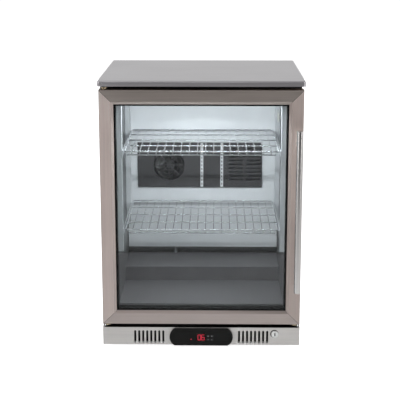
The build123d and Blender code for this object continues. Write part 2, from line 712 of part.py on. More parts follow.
def make_fan_panel():
    """The dark panel, with a ring and spoke guard over the fan and louvre slots beside it."""
    y0 = BACK_WALL_Y - PANEL_THICK
    y1 = BACK_WALL_Y
    panel = block(PANEL_X - PANEL_HALF, PANEL_X + PANEL_HALF, y0, y1, PANEL_Z0, PANEL_Z1)
    panel = fillet(panel.edges().group_by(Axis.Y)[0], PANEL_EDGE_RADIUS)

    def disc(start, end, radius):
        return rod((EVAP_FAN_X, start, EVAP_FAN_Z), (EVAP_FAN_X, end, EVAP_FAN_Z), radius)

    panel -= disc(y0 - CUT, y1 + CUT, EVAP_FAN_RADIUS)
    guard_y = y0 + GUARD_THICK
    for radius in GUARD_RINGS:
        panel += disc(y0, guard_y, radius) - disc(y0 - CUT, guard_y + CUT, radius - GUARD_WIDTH)
    spoke = Box(2 * EVAP_FAN_RADIUS + SPOKE_WIDTH, GUARD_THICK, SPOKE_WIDTH)
    for index in range(GUARD_SPOKES):
        turned = Rot(0, 180 / GUARD_SPOKES * index, 0) * spoke
        panel += Pos(EVAP_FAN_X, y0 + GUARD_THICK / 2, EVAP_FAN_Z) * turned
    length, height = LOUVRE_SIZE
    for column in range(LOUVRE_COLUMNS):
        x = LOUVRE_X + LOUVRE_COLUMN_PITCH * column
        for row in range(LOUVRE_ROWS):
            z = PANEL_Z0 + LOUVRE_MARGIN + LOUVRE_PITCH * row
            panel -= block(x, x + length, y0 - CUT, y1 + CUT, z, z + height)
    write("fan_panel", panel)


def make_coil(x0, x1, y0, y1, z0, z1, fin_pitch, fins_along_x):
    """A finned block: thin plates on two rows of tubes."""
    coil = None
    length = (x1 - x0) if fins_along_x else (y1 - y0)
    half = FIN_THICK / 2
    count = int(length / fin_pitch)
    for index in range(count + 1):
        place = length * index / count
        if fins_along_x:
            fin = block(x0 + place - half, x0 + place + half, y0, y1, z0, z1)
        else:
            fin = block(x0, x1, y0 + place - half, y0 + place + half, z0, z1)
        coil = fin if coil is None else coil + fin
    rows = int((z1 - z0) / COIL_TUBE_PITCH)
    for share in COIL_COLUMNS:
        for row in range(rows):
            z = z0 + (z1 - z0) * (row + 0.5) / rows
            if fins_along_x:
                y = y0 + (y1 - y0) * share
                coil += rod((x0 - COIL_OVERHANG, y, z), (x1 + COIL_OVERHANG, y, z), COIL_TUBE_RADIUS)
            else:
                x = x0 + (x1 - x0) * share
                coil += rod((x, y0 - COIL_OVERHANG, z), (x, y1 + COIL_OVERHANG, z), COIL_TUBE_RADIUS)
    return coil


def make_coils():
    """The evaporator behind its cover and the condenser in the machine room."""
    y0 = BACK_WALL_Y + COVER_SHEET + COIL_SETBACK
    y1 = y0 + COIL_DEPTH
    evaporator = make_coil(-COIL_HALF, COIL_HALF, y0, y1, COIL_Z0, COIL_Z1, COIL_FIN_PITCH, True)
    write("evaporator_coil", evaporator)
    x0 = CONDENSER_X0
    x1 = x0 + CONDENSER_THICK
    y0 = CONDENSER_Y - CONDENSER_HALF_Y
    y1 = CONDENSER_Y + CONDENSER_HALF_Y
    condenser = make_coil(x0, x1, y0, y1, CONDENSER_Z0, CONDENSER_Z1, CONDENSER_FIN_PITCH, False)
    write("condenser_coil", condenser)


def make_fan(radius):
    """Twisted blades on a hub that turns about Y, middle at the origin."""
    y0 = -FAN_DEPTH / 2
    y1 = FAN_DEPTH / 2
    hub = radius * FAN_HUB
    fan = rod((0, y0, 0), (0, y1, 0), hub)
    blade = Rot(BLADE_ANGLE, 0, 0) * Box(radius, BLADE_THICK, 2 * hub)
    for index in range(FAN_BLADES):
        fan += Rot(0, 360 / FAN_BLADES * index, 0) * (Pos(radius / 2 + hub / 2, 0, 0) * blade)
    fan = fan & rod((0, y0, 0), (0, y1, 0), radius)
    return fan - rod((0, y0 - CUT, 0), (0, y1 + CUT, 0), SHAFT_RADIUS + RUNNING_FIT)


def make_motor(length):
    """A round motor with a shaft through its fan, face at the origin and shaft along -Y."""
    motor = rod((0, 0, 0), (0, length, 0), MOTOR_RADIUS)
    motor = fillet(motor.edges(), MOTOR_EDGE)
    return motor + rod((0, -FAN_DEPTH - FAN_GAP, 0), (0, CUT, 0), SHAFT_RADIUS)


def make_fans():
    """Both fans, their motors and the condenser fan's shroud."""
    evap_y0 = BACK_WALL_Y - PANEL_THICK + GUARD_THICK + FAN_GAP
    evap_y1 = evap_y0 + FAN_DEPTH
    evap_fan = make_fan(EVAP_FAN_RADIUS - GUARD_FAN_GAP)
    write("evaporator_fan", Pos(EVAP_FAN_X, evap_y0 + FAN_DEPTH / 2, EVAP_FAN_Z) * evap_fan)
    motor_y = evap_y1 + FAN_GAP
    flat_motor = make_motor(LINER_BACK_Y - MOTOR_BACK_GAP - motor_y)
    evap_motor = Pos(EVAP_FAN_X, motor_y, EVAP_FAN_Z) * flat_motor

    along_x = Pos(COND_FAN_X, CONDENSER_Y, COND_FAN_Z) * Rot(0, 0, -90)
    write("condenser_fan", along_x * make_fan(COND_FAN_RADIUS))
    motor_start = FAN_DEPTH / 2 + FAN_GAP
    cond_motor = along_x * (Pos(0, motor_start, 0) * make_motor(MOTOR_LENGTH))
    write("fan_motors", group([evap_motor, cond_motor]))
    make_shroud(COND_FAN_X + motor_start + MOTOR_LENGTH)


def make_shroud(motor_x):
    """A plate on the condenser, a ring round the fan and arms to the back of its motor."""
    x0 = SHROUD_X
    x1 = SHROUD_X + SHROUD_DEPTH
    sheet = SHROUD_SHEET
    inner = COND_FAN_RADIUS + SHROUD_GAP
    outer = inner + sheet
    y0 = CONDENSER_Y - CONDENSER_HALF_Y
    y1 = CONDENSER_Y + CONDENSER_HALF_Y
    axis = (CONDENSER_Y, COND_FAN_Z)
    shroud = block(x0, x0 + sheet, y0, y1, CONDENSER_Z0, CONDENSER_Z1)
    shroud += rod((x0, *axis), (x1, *axis), outer)
    shroud -= rod((x0 - CUT, *axis), (x1 + CUT, *axis), inner)
    half = SHROUD_ARM_HALF
    arm = block(motor_x, motor_x + sheet, -half, half, 0, outer)
    arm += block(x1 - half, motor_x + sheet, -half, half, inner, outer)
    for index in range(SHROUD_ARMS):
        turned = Rot(360 / SHROUD_ARMS * index, 0, 0) * arm
        shroud += Pos(0, CONDENSER_Y, COND_FAN_Z) * turned
    write("fan_shroud", shroud)


def make_probe():
    """The cabinet temperature sensor, clipped on the side wall."""
    x = LINER_HALF - PROBE_REACH
    z0 = PROBE_Z - PROBE_LENGTH / 2
    probe = rod((x, PROBE_Y, z0), (x, PROBE_Y, z0 + PROBE_LENGTH), PROBE_RADIUS)
    half = PROBE_CLIP / 2
    probe += block(
        x - 2, LINER_HALF - SMALL_FIT, PROBE_Y - half, PROBE_Y + half, PROBE_Z - half, PROBE_Z + half)
    write("temperature_probe", probe)


# ---- machine room ----
def make_base_pan():
    """A folded pan under the machine room, with threaded bosses for the feet."""
    half = CABINET_HALF - SHEET - SMALL_FIT
    inner = half - PAN_SHEET
    y0 = KICK_Y0 + PAN_SETBACK
    y1 = CABINET_Y1 - SHEET - SMALL_FIT
    pan = block(-half, half, y0, y1, BASE_Z, BASE_Z + PAN_HEIGHT)
    pan -= block(-inner, inner, y0 - CUT, y1 + CUT, BASE_Z + PAN_SHEET, BASE_Z + PAN_HEIGHT + CUT)
    boss_top = BASE_Z + BOSS_HEIGHT
    for x in (-FOOT_X, FOOT_X):
        for y in FOOT_Y:
            pan += rod((x, y, BASE_Z), (x, y, boss_top), FOOT_STUD_RADIUS + BOSS_WALL)
            pan -= rod((x, y, BASE_Z - CUT), (x, y, boss_top + CUT), FOOT_STUD_RADIUS + RUNNING_FIT)
    write("base_pan", pan)


def mount_places():
    """Where the compressor's four lugs stand."""
    for side_x in (-1, 1):
        for side_y in (-1, 1):
            yield COMPRESSOR_X + side_x * LUG_OFFSET[0], COMPRESSOR_Y + side_y * LUG_OFFSET[1]


def make_compressor():
    """The shell on its plate, four rubber mounts with studs, and the terminal cover."""
    x = COMPRESSOR_X
    y = COMPRESSOR_Y
    z0 = COMPRESSOR_Z0
    z1 = z0 + COMPRESSOR_HEIGHT
    plate_z = z0 + PLATE_RISE
    half_x, half_y = PLATE_HALF
    shell = rod((x, y, z0), (x, y, z1), COMPRESSOR_RADIUS)
    shell = fillet(shell.edges(), COMPRESSOR_DOME)
    seam = (z0 + z1) / 2
    seam_radius = COMPRESSOR_RADIUS + SHELL_SEAM_PROUD
    shell += rod((x, y, seam - SHELL_SEAM_HALF), (x, y, seam + SHELL_SEAM_HALF), seam_radius)
    plate = block(x - half_x, x + half_x, y - half_y, y + half_y, plate_z, plate_z + PLATE_SHEET)
    shell += fillet(plate.edges().filter_by(Axis.Z), PLATE_CORNER)
    mounts = []
    floor = BASE_Z + PAN_SHEET
    stud_top = z0 + LUG_STUD_RISE
    for lug in mount_places():
        shell -= rod((*lug, floor), (*lug, stud_top), LUG_STUD_RADIUS + SMALL_FIT)
        mount = rod((*lug, floor), (*lug, plate_z - LUG_GAP), LUG_RUBBER_RADIUS)
        mounts.append(mount + rod((*lug, floor), (*lug, stud_top), LUG_STUD_RADIUS))
    write("compressor_shell", shell)
    write("compressor_mounts", group(mounts))

    cover_x = x + seam_radius + SMALL_FIT
    cover_z = z0 + TERMINAL_RISE
    cover = block(
        cover_x, cover_x + TERMINAL_THICK, y - TERMINAL_HALF, y + TERMINAL_HALF,
        cover_z, cover_z + TERMINAL_HEIGHT)
    cover = fillet(cover.edges().group_by(Axis.X)[-1], TERMINAL_EDGE)
    write("terminal_cover", cover)


def bent_tube(points, radius, bend):
    """A tube along straight runs joined by arcs."""
    path = FilletPolyline(*points, radius=bend)
    start = Plane(origin=path @ 0, z_dir=path % 0)
    return sweep(start * Circle(radius), path=path)


def make_tubes():
    """Discharge, condenser outlet with filter drier, and suction line."""
    shell_x = COMPRESSOR_X - COMPRESSOR_RADIUS - SHELL_SEAM_PROUD
    start_y = COMPRESSOR_Y - DISCHARGE_OFFSET
    turn_x = COMPRESSOR_X - COMPRESSOR_RADIUS - DISCHARGE_RUN
    coil_y = TUBE_FRONT_Y + TUBE_INTO_COIL
    discharge = bent_tube(
        [(shell_x - CUT, start_y, DISCHARGE_Z), (turn_x, start_y, DISCHARGE_Z),
         (turn_x, TUBE_FRONT_Y, DISCHARGE_Z), (DISCHARGE_X, TUBE_FRONT_Y, DISCHARGE_Z),
         (DISCHARGE_X, coil_y, DISCHARGE_Z)],
        TUBE_RADIUS, TIGHT_BEND)
    drier = rod((DRIER_X, OUTLET_Y, OUTLET_Z), (DRIER_X + DRIER_LENGTH, OUTLET_Y, OUTLET_Z), DRIER_RADIUS)
    drier = fillet(drier.edges(), DRIER_EDGE)
    outlet = bent_tube(
        [(DRIER_X + CUT, OUTLET_Y, OUTLET_Z), (OUTLET_X, OUTLET_Y, OUTLET_Z), (OUTLET_X, coil_y, OUTLET_Z)],
        TUBE_RADIUS, TUBE_BEND)
    shell_y = COMPRESSOR_Y - COMPRESSOR_RADIUS - SHELL_SEAM_PROUD + CUT
    low, high = SUCTION_Z
    suction = bent_tube(
        [(SUCTION_X, shell_y, low), (SUCTION_X, SUCTION_Y, low),
         (SUCTION_X, SUCTION_Y, high), (SUCTION_X + SUCTION_RUN, SUCTION_Y, high)],
        SUCTION_RADIUS, TUBE_BEND)
    write("refrigerant_tubes", group([discharge, drier + outlet, suction]))


def make_drain():
    """Trough under the evaporator, drain tube and evaporation pan."""
    y0 = BACK_WALL_Y + COVER_SHEET + TROUGH_GAP
    y1 = LINER_BACK_Y - TROUGH_GAP
    wall = DRAIN_WALL
    inner = TROUGH_HALF - wall
    floor = TROUGH_Z + wall
    trough = block(-TROUGH_HALF, TROUGH_HALF, y0, y1, TROUGH_Z, TROUGH_Z + TROUGH_DEPTH)
    trough -= block(-inner, inner, y0 + wall, y1 - wall, floor, TROUGH_Z + TROUGH_DEPTH + CUT)
    trough += rod((DRAIN_X, DRAIN_Y, DRAIN_Z0), (DRAIN_X, DRAIN_Y, floor), DRAIN_RADIUS)
    trough -= rod((DRAIN_X, DRAIN_Y, DRAIN_Z0 - CUT), (DRAIN_X, DRAIN_Y, floor + CUT), DRAIN_BORE)
    write("drain_trough", trough)

    half_x, half_y = PAN_HALF
    z0 = BASE_Z + PAN_SHEET
    z1 = z0 + PAN_DEPTH
    pan = Pos(DRAIN_X, DRAIN_Y, 0) * block(-half_x, half_x, -half_y, half_y, z0, z1)
    half_x -= wall
    half_y -= wall
    pan -= Pos(DRAIN_X, DRAIN_Y, 0) * block(-half_x, half_x, -half_y, half_y, z0 + wall, z1 + CUT)
    write("condensate_pan", pan)


def make_rear():
    """The rear grille, the power inlet in it and the screws of the rear panels."""
    room_top = HUMP_Z - TUB_WALL - LINER - FLOOR_FOAM
    y0 = CABINET_Y1 - SHEET
    y1 = CABINET_Y1
    half = CABINET_HALF
    grille = block(-half, half, y0, y1, BASE_Z, room_top - GRILLE_GAP)
    length, height = GRILLE_SLOT
    for row in range(GRILLE_ROWS):
        z = GRILLE_Z + GRILLE_ROW_PITCH * row
        for column in range(GRILLE_COLUMNS):
            x = GRILLE_X + GRILLE_COLUMN_PITCH * column
            grille -= block(x, x + length, y0 - CUT, y1 + CUT, z, z + height)
    grille -= inlet_block(0, 0, y0 - CUT, y1 + CUT)
    write("rear_grille", grille)

    inlet = inlet_block(-SMALL_FIT, -SMALL_FIT, y1 - INLET_DEPTH, y1)
    inlet += inlet_block(INLET_LIP_SIDE, INLET_LIP, y1, y1 + INLET_PROUD)
    inlet -= inlet_block(-INLET_WALL, -INLET_WALL, y1 - INLET_RECESS, y1 + INLET_PROUD + CUT)
    pin_half = INLET_PIN_SIZE[0] / 2
    pin_rise = INLET_PIN_SIZE[1] / 2
    for index in (-1, 0, 1):
        x = INLET_X + INLET_PIN_PITCH * index
        z = INLET_Z - INLET_PIN_DROP if index else INLET_Z + INLET_PIN_DROP
        inlet += block(
            x - pin_half, x + pin_half, y1 - INLET_RECESS - CUT, y1 - INLET_WALL,
            z - pin_rise, z + pin_rise)
    write("power_inlet", inlet)

    screws = []
    screw_levels = (
        BASE_Z + SCREW_INSET, room_top + 2 * SCREW_INSET,
        (WORKTOP_Z + room_top) / 2, WORKTOP_Z - 2 * SCREW_INSET,
    )
    for x in (-half + SCREW_INSET, half - SCREW_INSET):
        for z in screw_levels:
            screws.append(screw_head(x, y1, z))
    write("cabinet_screws", group(screws))


def inlet_block(grow_x, grow_z, y0, y1):
    """The power inlet's outline, grown on its sides and on its top and bottom."""
    half_x = INLET_WIDTH / 2 + grow_x
    half_z = INLET_HEIGHT / 2 + grow_z
    return block(INLET_X - half_x, INLET_X + half_x, y0, y1, INLET_Z - half_z, INLET_Z + half_z)


def screw_head(x, y, z):
    """A domed screw head on the rear face, with a cross recess."""
    top = y + SCREW_HEIGHT
    head = rod((x, y, z), (x, top, z), SCREW_RADIUS)
    head = fillet(head.edges().group_by(Axis.Y)[-1], SCREW_EDGE)
    for half_x, half_z in (SCREW_CROSS, reversed(SCREW_CROSS)):
        head -= block(x - half_x, x + half_x, top - SCREW_RECESS, top + CUT, z - half_z, z + half_z)
    return head


# ---- kick panel, controller and lock ----
def slot_places():
    """The middle of each vent slot across the kick panel."""
    for side in (-1, 1):
        for index in range(SLOT_COUNT):
            yield side * SLOT_GROUP_X + SLOT_PITCH * (index - (SLOT_COUNT - 1) / 2)


def make_kick_panel():
    """A folded sheet with two groups of slots, each slot a short tunnel, and two openings."""
    y0 = KICK_Y0
    y1 = CABINET_Y0 - KICK_GAP
    panel = block(-KICK_HALF, KICK_HALF, y0, y1, KICK_Z0, KICK_Z1)
    panel = fillet(panel.edges().filter_by(Axis.Z).group_by(Axis.Y)[0], KICK_EDGE)
    inner = KICK_HALF - SHEET
    flange_y = y0 + KICK_FLANGE
    panel -= block(-inner, inner, y0 + SHEET, y1 + CUT, KICK_Z0 + SHEET, KICK_Z1 - SHEET)
    panel -= block(-inner, inner, flange_y, y1 + CUT, KICK_Z0 - CUT, KICK_Z1 + CUT)
    outer_width = SLOT_WIDTH + 2 * SLOT_TUNNEL_WALL
    outer_height = SLOT_HEIGHT + 2 * SLOT_TUNNEL_WALL
    for x in slot_places():
        panel += stadium_y(x, SLOT_Z, outer_width, outer_height, y0 + SHEET / 2, flange_y)
    for x in slot_places():
        panel -= stadium_y(x, SLOT_Z, SLOT_WIDTH, SLOT_HEIGHT, y0 - CUT, flange_y + CUT)
    back = y0 + SHEET + CUT
    panel -= rod((LOCK_X, y0 - CUT, LOCK_Z), (LOCK_X, back, LOCK_Z), LOCK_BARREL_RADIUS + SMALL_FIT)
    half = BEZEL_HALF - BEZEL_END_BULGE - BEZEL_OPENING
    height = BEZEL_HEIGHT / 2 - BEZEL_OPENING
    panel -= block(-half, half, y0 - CUT, back, BEZEL_Z - height, BEZEL_Z + height)
    write("kick_panel", panel)


def bezel_face(shrink):
    """The bezel's outline: straight top and bottom, ends that bulge in an arc."""
    straight = BEZEL_HALF - BEZEL_END_BULGE - shrink / 2
    tip = BEZEL_HALF - shrink
    half = BEZEL_HEIGHT / 2 - shrink
    top = Line((-straight, half), (straight, half))
    right = ThreePointArc((straight, half), (tip, 0), (straight, -half))
    bottom = Line((straight, -half), (-straight, -half))
    left = ThreePointArc((-straight, -half), (-tip, 0), (-straight, half))
    return make_face([top, right, bottom, left])


def bezel_block(shrink, y0, y1):
    """The bezel's outline, shrunk, extruded along Y."""
    face = Pos(0, y0, BEZEL_Z) * (Plane.XZ * bezel_face(shrink))
    return extrude(face, amount=y1 - y0, dir=(0, 1, 0))


def button_box(x, z, grow, y0, y1):
    """One button, or its opening when grown."""
    half_x = BUTTON_SIZE[0] / 2 + grow
    half_z = BUTTON_SIZE[1] / 2 + grow
    return block(x - half_x, x + half_x, y0, y1, z - half_z, z + half_z)


def make_controller():
    """The bezel with its window, digits, four buttons and the board behind them."""
    y0 = BEZEL_Y0
    y1 = KICK_Y0
    skin_y = y0 + BEZEL_SKIN
    bezel = bezel_block(0, y0, y1)
    bezel = chamfer(bezel.edges().group_by(Axis.Y)[0], BEZEL_BEVEL)
    bezel -= bezel_block(BEZEL_BEVEL + BEZEL_WALL, skin_y, y1 + CUT)
    window_z0 = WINDOW_Z - WINDOW_HEIGHT / 2
    window_z1 = WINDOW_Z + WINDOW_HEIGHT / 2
    bezel -= block(-WINDOW_HALF, WINDOW_HALF, y0 - CUT, skin_y + CUT, window_z0, window_z1)
    button_y = y0 - BUTTON_PROUD
    for column, x in enumerate(BUTTON_X):
        for row, z in enumerate(BUTTON_Z):
            bezel -= button_box(x, z, BUTTON_GAP, y0 - CUT, skin_y + CUT)
            button = button_box(x, z, 0, button_y, button_y + BUTTON_DEPTH)
            button = fillet(button.edges().group_by(Axis.Y)[0], BUTTON_EDGE)
            write(BUTTON_NAMES[column][row], button)
    lamp_start = (INDICATOR_X, y0 - CUT, INDICATOR_Z)
    lamp_end = (INDICATOR_X, skin_y + CUT, INDICATOR_Z)
    bezel -= rod(lamp_start, lamp_end, INDICATOR_RADIUS)
    write("controller_bezel", bezel)

    window_y0 = y0 + WINDOW_RECESS
    window_y1 = window_y0 + WINDOW_THICK
    window = block(-WINDOW_HALF, WINDOW_HALF, window_y0, window_y1, window_z0, window_z1)
    write("display_window", window)
    make_digits(window_y0)

    board_y0 = button_y + BUTTON_DEPTH + BOARD_GAP
    board_y1 = board_y0 + BOARD_THICK
    half_x, half_z = BOARD_HALF
    board = block(-half_x, half_x, board_y0, board_y1, BEZEL_Z - half_z, BEZEL_Z + half_z)
    board += block(
        -WINDOW_HALF + CUT, WINDOW_HALF - CUT, window_y1 + SMALL_FIT, board_y0,
        window_z0 + CUT, window_z1 - CUT)
    width, depth = BOARD_PART
    low, high = BOARD_PART_Z
    for x in BOARD_PART_X:
        board += block(x, x + width, board_y0, board_y1 + depth, BEZEL_Z + low, BEZEL_Z + high)
    write("control_board", board)


def make_digits(y):
    """A zero and a six from straight segments, and the round indicator."""
    half_w = DIGIT_WIDTH / 2
    half_h = DIGIT_HEIGHT / 2
    stroke = DIGIT_STROKE / 2
    bars = {
        "top": (-half_w, half_w, half_h - stroke, half_h + stroke),
        "middle": (-half_w, half_w, -stroke, stroke),
        "bottom": (-half_w, half_w, -half_h - stroke, -half_h + stroke),
        "upper_left": (-half_w - stroke, -half_w + stroke, 0, half_h),
        "lower_left": (-half_w - stroke, -half_w + stroke, -half_h, 0),
        "upper_right": (half_w - stroke, half_w + stroke, 0, half_h),
        "lower_right": (half_w - stroke, half_w + stroke, -half_h, 0),
    }
    zero = ("top", "bottom", "upper_left", "lower_left", "upper_right", "lower_right")
    six = ("top", "middle", "bottom", "upper_left", "lower_left", "lower_right")
    pieces = []
    for centre, names in ((-DIGIT_SPACING / 2, zero), (DIGIT_SPACING / 2, six)):
        digit = None
        for name in names:
            x0, x1, z0, z1 = bars[name]
            bar = block(centre + x0, centre + x1, y - DIGIT_PROUD, y, WINDOW_Z + z0, WINDOW_Z + z1)
            digit = bar if digit is None else digit + bar
        pieces.append(digit)
    lamp_start = (INDICATOR_X, BEZEL_Y0, INDICATOR_Z)
    lamp_end = (INDICATOR_X, BEZEL_Y0 + INDICATOR_LENGTH, INDICATOR_Z)
    pieces.append(rod(lamp_start, lamp_end, INDICATOR_RADIUS - INDICATOR_GAP))
    write("display_digits", group(pieces))


def make_lock():
    """A barrel with its nut, and the plug that turns in it with a cam on its end."""
    def bar(start, end, radius):
        return rod((LOCK_X, start, LOCK_Z), (LOCK_X, end, LOCK_Z), radius)

    y0 = KICK_Y0
    flange_y = y0 - LOCK_FLANGE_PROUD
    housing = bar(flange_y, y0, LOCK_FLANGE_RADIUS)
    housing = chamfer(housing.edges().group_by(Axis.Y)[0], LOCK_FLANGE_BEVEL)
    housing += bar(y0, LOCK_REAR_Y, LOCK_BARREL_RADIUS)
    housing -= bar(flange_y - CUT, LOCK_REAR_Y + CUT, LOCK_PLUG_RADIUS + RUNNING_FIT)
    nut_y = y0 + SHEET
    nut_face = Pos(LOCK_X, nut_y, LOCK_Z) * (Plane.XZ * RegularPolygon(LOCK_NUT_RADIUS, 6))
    nut = extrude(nut_face, amount=LOCK_NUT_THICK, dir=(0, 1, 0))
    nut -= bar(nut_y - CUT, nut_y + LOCK_NUT_THICK + CUT, LOCK_BARREL_RADIUS + RUNNING_FIT)
    write("lock_housing", group([housing, nut]))

    cam_y0 = LOCK_REAR_Y + SMALL_FIT
    cam_y1 = cam_y0 + CAM_THICK
    plug_y = y0 - LOCK_PLUG_PROUD
    half_x, half_z = KEYWAY_HALF
    plug = bar(plug_y, cam_y1, LOCK_PLUG_RADIUS)
    plug -= block(
        LOCK_X - half_x, LOCK_X + half_x, plug_y - CUT, plug_y + KEYWAY_DEPTH,
        LOCK_Z - half_z, LOCK_Z + half_z)
    half = CAM_WIDTH / 2
    cam = block(LOCK_X - CAM_LENGTH, LOCK_X, cam_y0, cam_y1, LOCK_Z - half, LOCK_Z + half)
    cam += bar(cam_y0, cam_y1, CAM_EYE_RADIUS)
    write("lock_plug", plug + cam)


# ---- hinges ----
def pin_line(z0, z1, radius):
    """A round bar on the hinge line."""
    return rod((HINGE_X, HINGE_Y, z0), (HINGE_X, HINGE_Y, z1), radius)


def hinge_bracket(plate_z, flange_z0, flange_z1):
    """An L-shaped plate: a tongue over the hinge line and a flange on the cabinet's front."""
    x0 = HINGE_X - BRACKET_EYE
    y1 = CABINET_Y0
    tongue = block(x0, HINGE_X + TONGUE_RIGHT, HINGE_Y, y1, plate_z, plate_z + BRACKET_THICK)
    tongue += pin_line(plate_z, plate_z + BRACKET_THICK, BRACKET_EYE)
    flange = block(x0, HINGE_X + FLANGE_RIGHT, y1 - BRACKET_THICK, y1, flange_z0, flange_z1)
    return tongue + flange


def make_hinges():
    """Bottom and top brackets with pins, and a bottom bracket without one on the other side."""
    low = DOOR_Z0 - BRACKET_GAP - BRACKET_THICK
    high = DOOR_Z1 + BRACKET_GAP
    bottom = hinge_bracket(low, low, low + FLANGE_HEIGHT[0])
    top = hinge_bracket(high, high - FLANGE_HEIGHT[1], high + BRACKET_THICK)
    spare = mirrored(bottom)
    bottom += pin_line(low + CUT, low + BRACKET_THICK + PIN_LENGTH, PIN_RADIUS)
    top += pin_line(high - PIN_LENGTH, high + CUT, PIN_RADIUS)
    write("hinge_brackets", group([bottom, top, spare]))


# ---- door ----
def cam_slot():
    """Clears the lock's cam through the bottom of the door."""
    y = LOCK_REAR_Y + SMALL_FIT + CAM_THICK / 2
    half = CAM_SLOT_WIDTH / 2
    return block(
        LOCK_X - CAM_SLOT_LEFT, LOCK_X + CAM_SLOT_RIGHT, y - half, y + half,
        DOOR_Z0 - CUT, DOOR_Z0 + CAM_SLOT_DEPTH)


def make_door_frame():
    """Four mitred stainless bars round the door."""
    sheet = FRAME_SHEET
    back = DOOR_THICK
    flat = FRAME_FACE - BEVEL_WIDTH
    skin = [
        (0, back), (0, FRAME_EDGE), (FRAME_EDGE, 0), (flat, 0), (FRAME_FACE, BEVEL_DEPTH),
        (FRAME_FACE - 2 * sheet, BEVEL_DEPTH), (flat - sheet / 2, sheet), (sheet, sheet), (sheet, back),
    ]
    bars = door_bars(skin)
    for side in ("top", "bottom"):
        bars[side] = clear_bushes(bars[side])
    bars["bottom"] -= cam_slot()
    write("door_rail_top", bars["top"])
    write("door_rail_bottom", bars["bottom"])
    write("door_stile_hinge", bars["left"])
    write("door_stile_handle", bars["right"])


def clear_bushes(bar):
    """Holes for both hinge bushes through the door's top and bottom edges."""
    radius = BUSH_RADIUS + SMALL_FIT
    bar -= pin_line(DOOR_Z0 - CUT, DOOR_Z0 + HOLE_DEPTH, radius)
    return bar - pin_line(DOOR_Z1 - HOLE_DEPTH, DOOR_Z1 + CUT, radius)


def make_inner_frame():
    """The hollow frame that carries the glass, and the keys in its corners."""
    near = FRAME_SHEET + SMALL_FIT
    edge = PANE_INSET - SMALL_FIT
    back = DOOR_THICK
    step = GLASS_BACK + SMALL_FIT
    profile = [
        (near, near), (edge, near), (edge, step), (SPACER_INSET, step), (SPACER_INSET, back), (near, back),
    ]
    chamber_near = near + PROFILE_WALL
    chamber_far = edge - PROFILE_WALL
    chamber_back = back - PROFILE_WALL
    chamber = [
        (chamber_near, chamber_near), (chamber_far, chamber_near),
        (chamber_far, chamber_back), (chamber_near, chamber_back),
    ]
    bars = door_bars(profile, chamber)
    for side in ("top", "bottom"):
        bars[side] = clear_bushes(bars[side])
    bars["bottom"] -= cam_slot()
    write("door_inner_frame", group(bars.values()))
    make_corner_keys(chamber_near + SMALL_FIT, chamber_far - SMALL_FIT, chamber_back - SMALL_FIT)


def make_glass():
    """Two panes held apart by a spacer."""
    half = DOOR_WIDTH / 2 - PANE_INSET
    y = DOOR_Y0 + BEVEL_DEPTH
    outer = block(-half, half, y, y + PANE, DOOR_Z0 + PANE_INSET, DOOR_Z1 - PANE_INSET)
    write("glass_panes", group([outer, Pos(0, PANE + PANE_GAP, 0) * outer]))
    start = PANE_INSET + CUT
    front = BEVEL_DEPTH + PANE
    back = GLASS_BACK - PANE
    spacer = [(start, front), (SPACER_INSET, front), (SPACER_INSET, back), (start, back)]
    write("glass_spacer", group(door_bars(spacer).values()))


def make_gasket():
    """The magnetic seal: a wide foot on the door and a narrower face towards the cabinet."""
    foot0, foot1 = GASKET_FOOT
    face0, face1 = GASKET_FACE
    base = DOOR_THICK
    foot = base + GASKET_FOOT_THICK
    tip = base + GASKET_THICK
    gasket = [
        (foot0, base), (foot1, base), (foot1, foot), (face1 + CUT, tip - CUT),
        (face1, tip), (face0, tip), (face0 - CUT, tip - CUT), (foot0, foot),
    ]
    write("door_gasket", group(door_bars(gasket).values()))


def make_corner_keys(near, far, back):
    """L-shaped keys inside the corners of the hollow frame; the hinge side's hold the bushes."""
    outline = [
        (near, near), (far + KEY_LEG, near), (far + KEY_LEG, far),
        (far, far), (far, far + KEY_LEG), (near, far + KEY_LEG),
    ]
    keys = []
    half = DOOR_WIDTH / 2
    for side in (-1, 1):
        for end, inward in ((DOOR_Z0, 1), (DOOR_Z1, -1)):
            points = [(side * (half - u), end + inward * w) for u, w in outline]
            key = prism_y(points, DOOR_Y0 + near, DOOR_Y0 + back)
            if side < 0:
                key -= pin_line(end - KEY_LEG, end + KEY_LEG, BUSH_RADIUS + RUNNING_FIT)
                key -= pin_line(DOOR_Z0, DOOR_Z0 + 3 * KEY_LEG, TORSION_ROD_RADIUS + SMALL_FIT)
            keys.append(key)
    write("door_corner_keys", group(keys))


def make_hinge_line():
    """Two bushes that turn on the pins, and the closer's torsion rod between them."""
    bottom = DOOR_Z0 + FRAME_SHEET
    top = DOOR_Z1 - FRAME_SHEET
    bushes = []
    for start in (bottom, top - BUSH_LENGTH):
        bush = pin_line(start, start + BUSH_LENGTH, BUSH_RADIUS)
        bush -= pin_line(start - CUT, start + BUSH_LENGTH + CUT, PIN_RADIUS + RUNNING_FIT)
        bushes.append(bush)
    write("hinge_bushes", group(bushes))

    torsion_rod = pin_line(bottom + BUSH_LENGTH + TORSION_ROD_GAP, TORSION_ROD_TOP, TORSION_ROD_RADIUS)
    half_x, half_y = TORSION_KEY
    torsion_rod += block(
        HINGE_X - half_x, HINGE_X + half_x, HINGE_Y - half_y, HINGE_Y + half_y,
        TORSION_ROD_TOP - TORSION_KEY_HEIGHT, TORSION_ROD_TOP)
    write("closer_torsion_rod", torsion_rod)


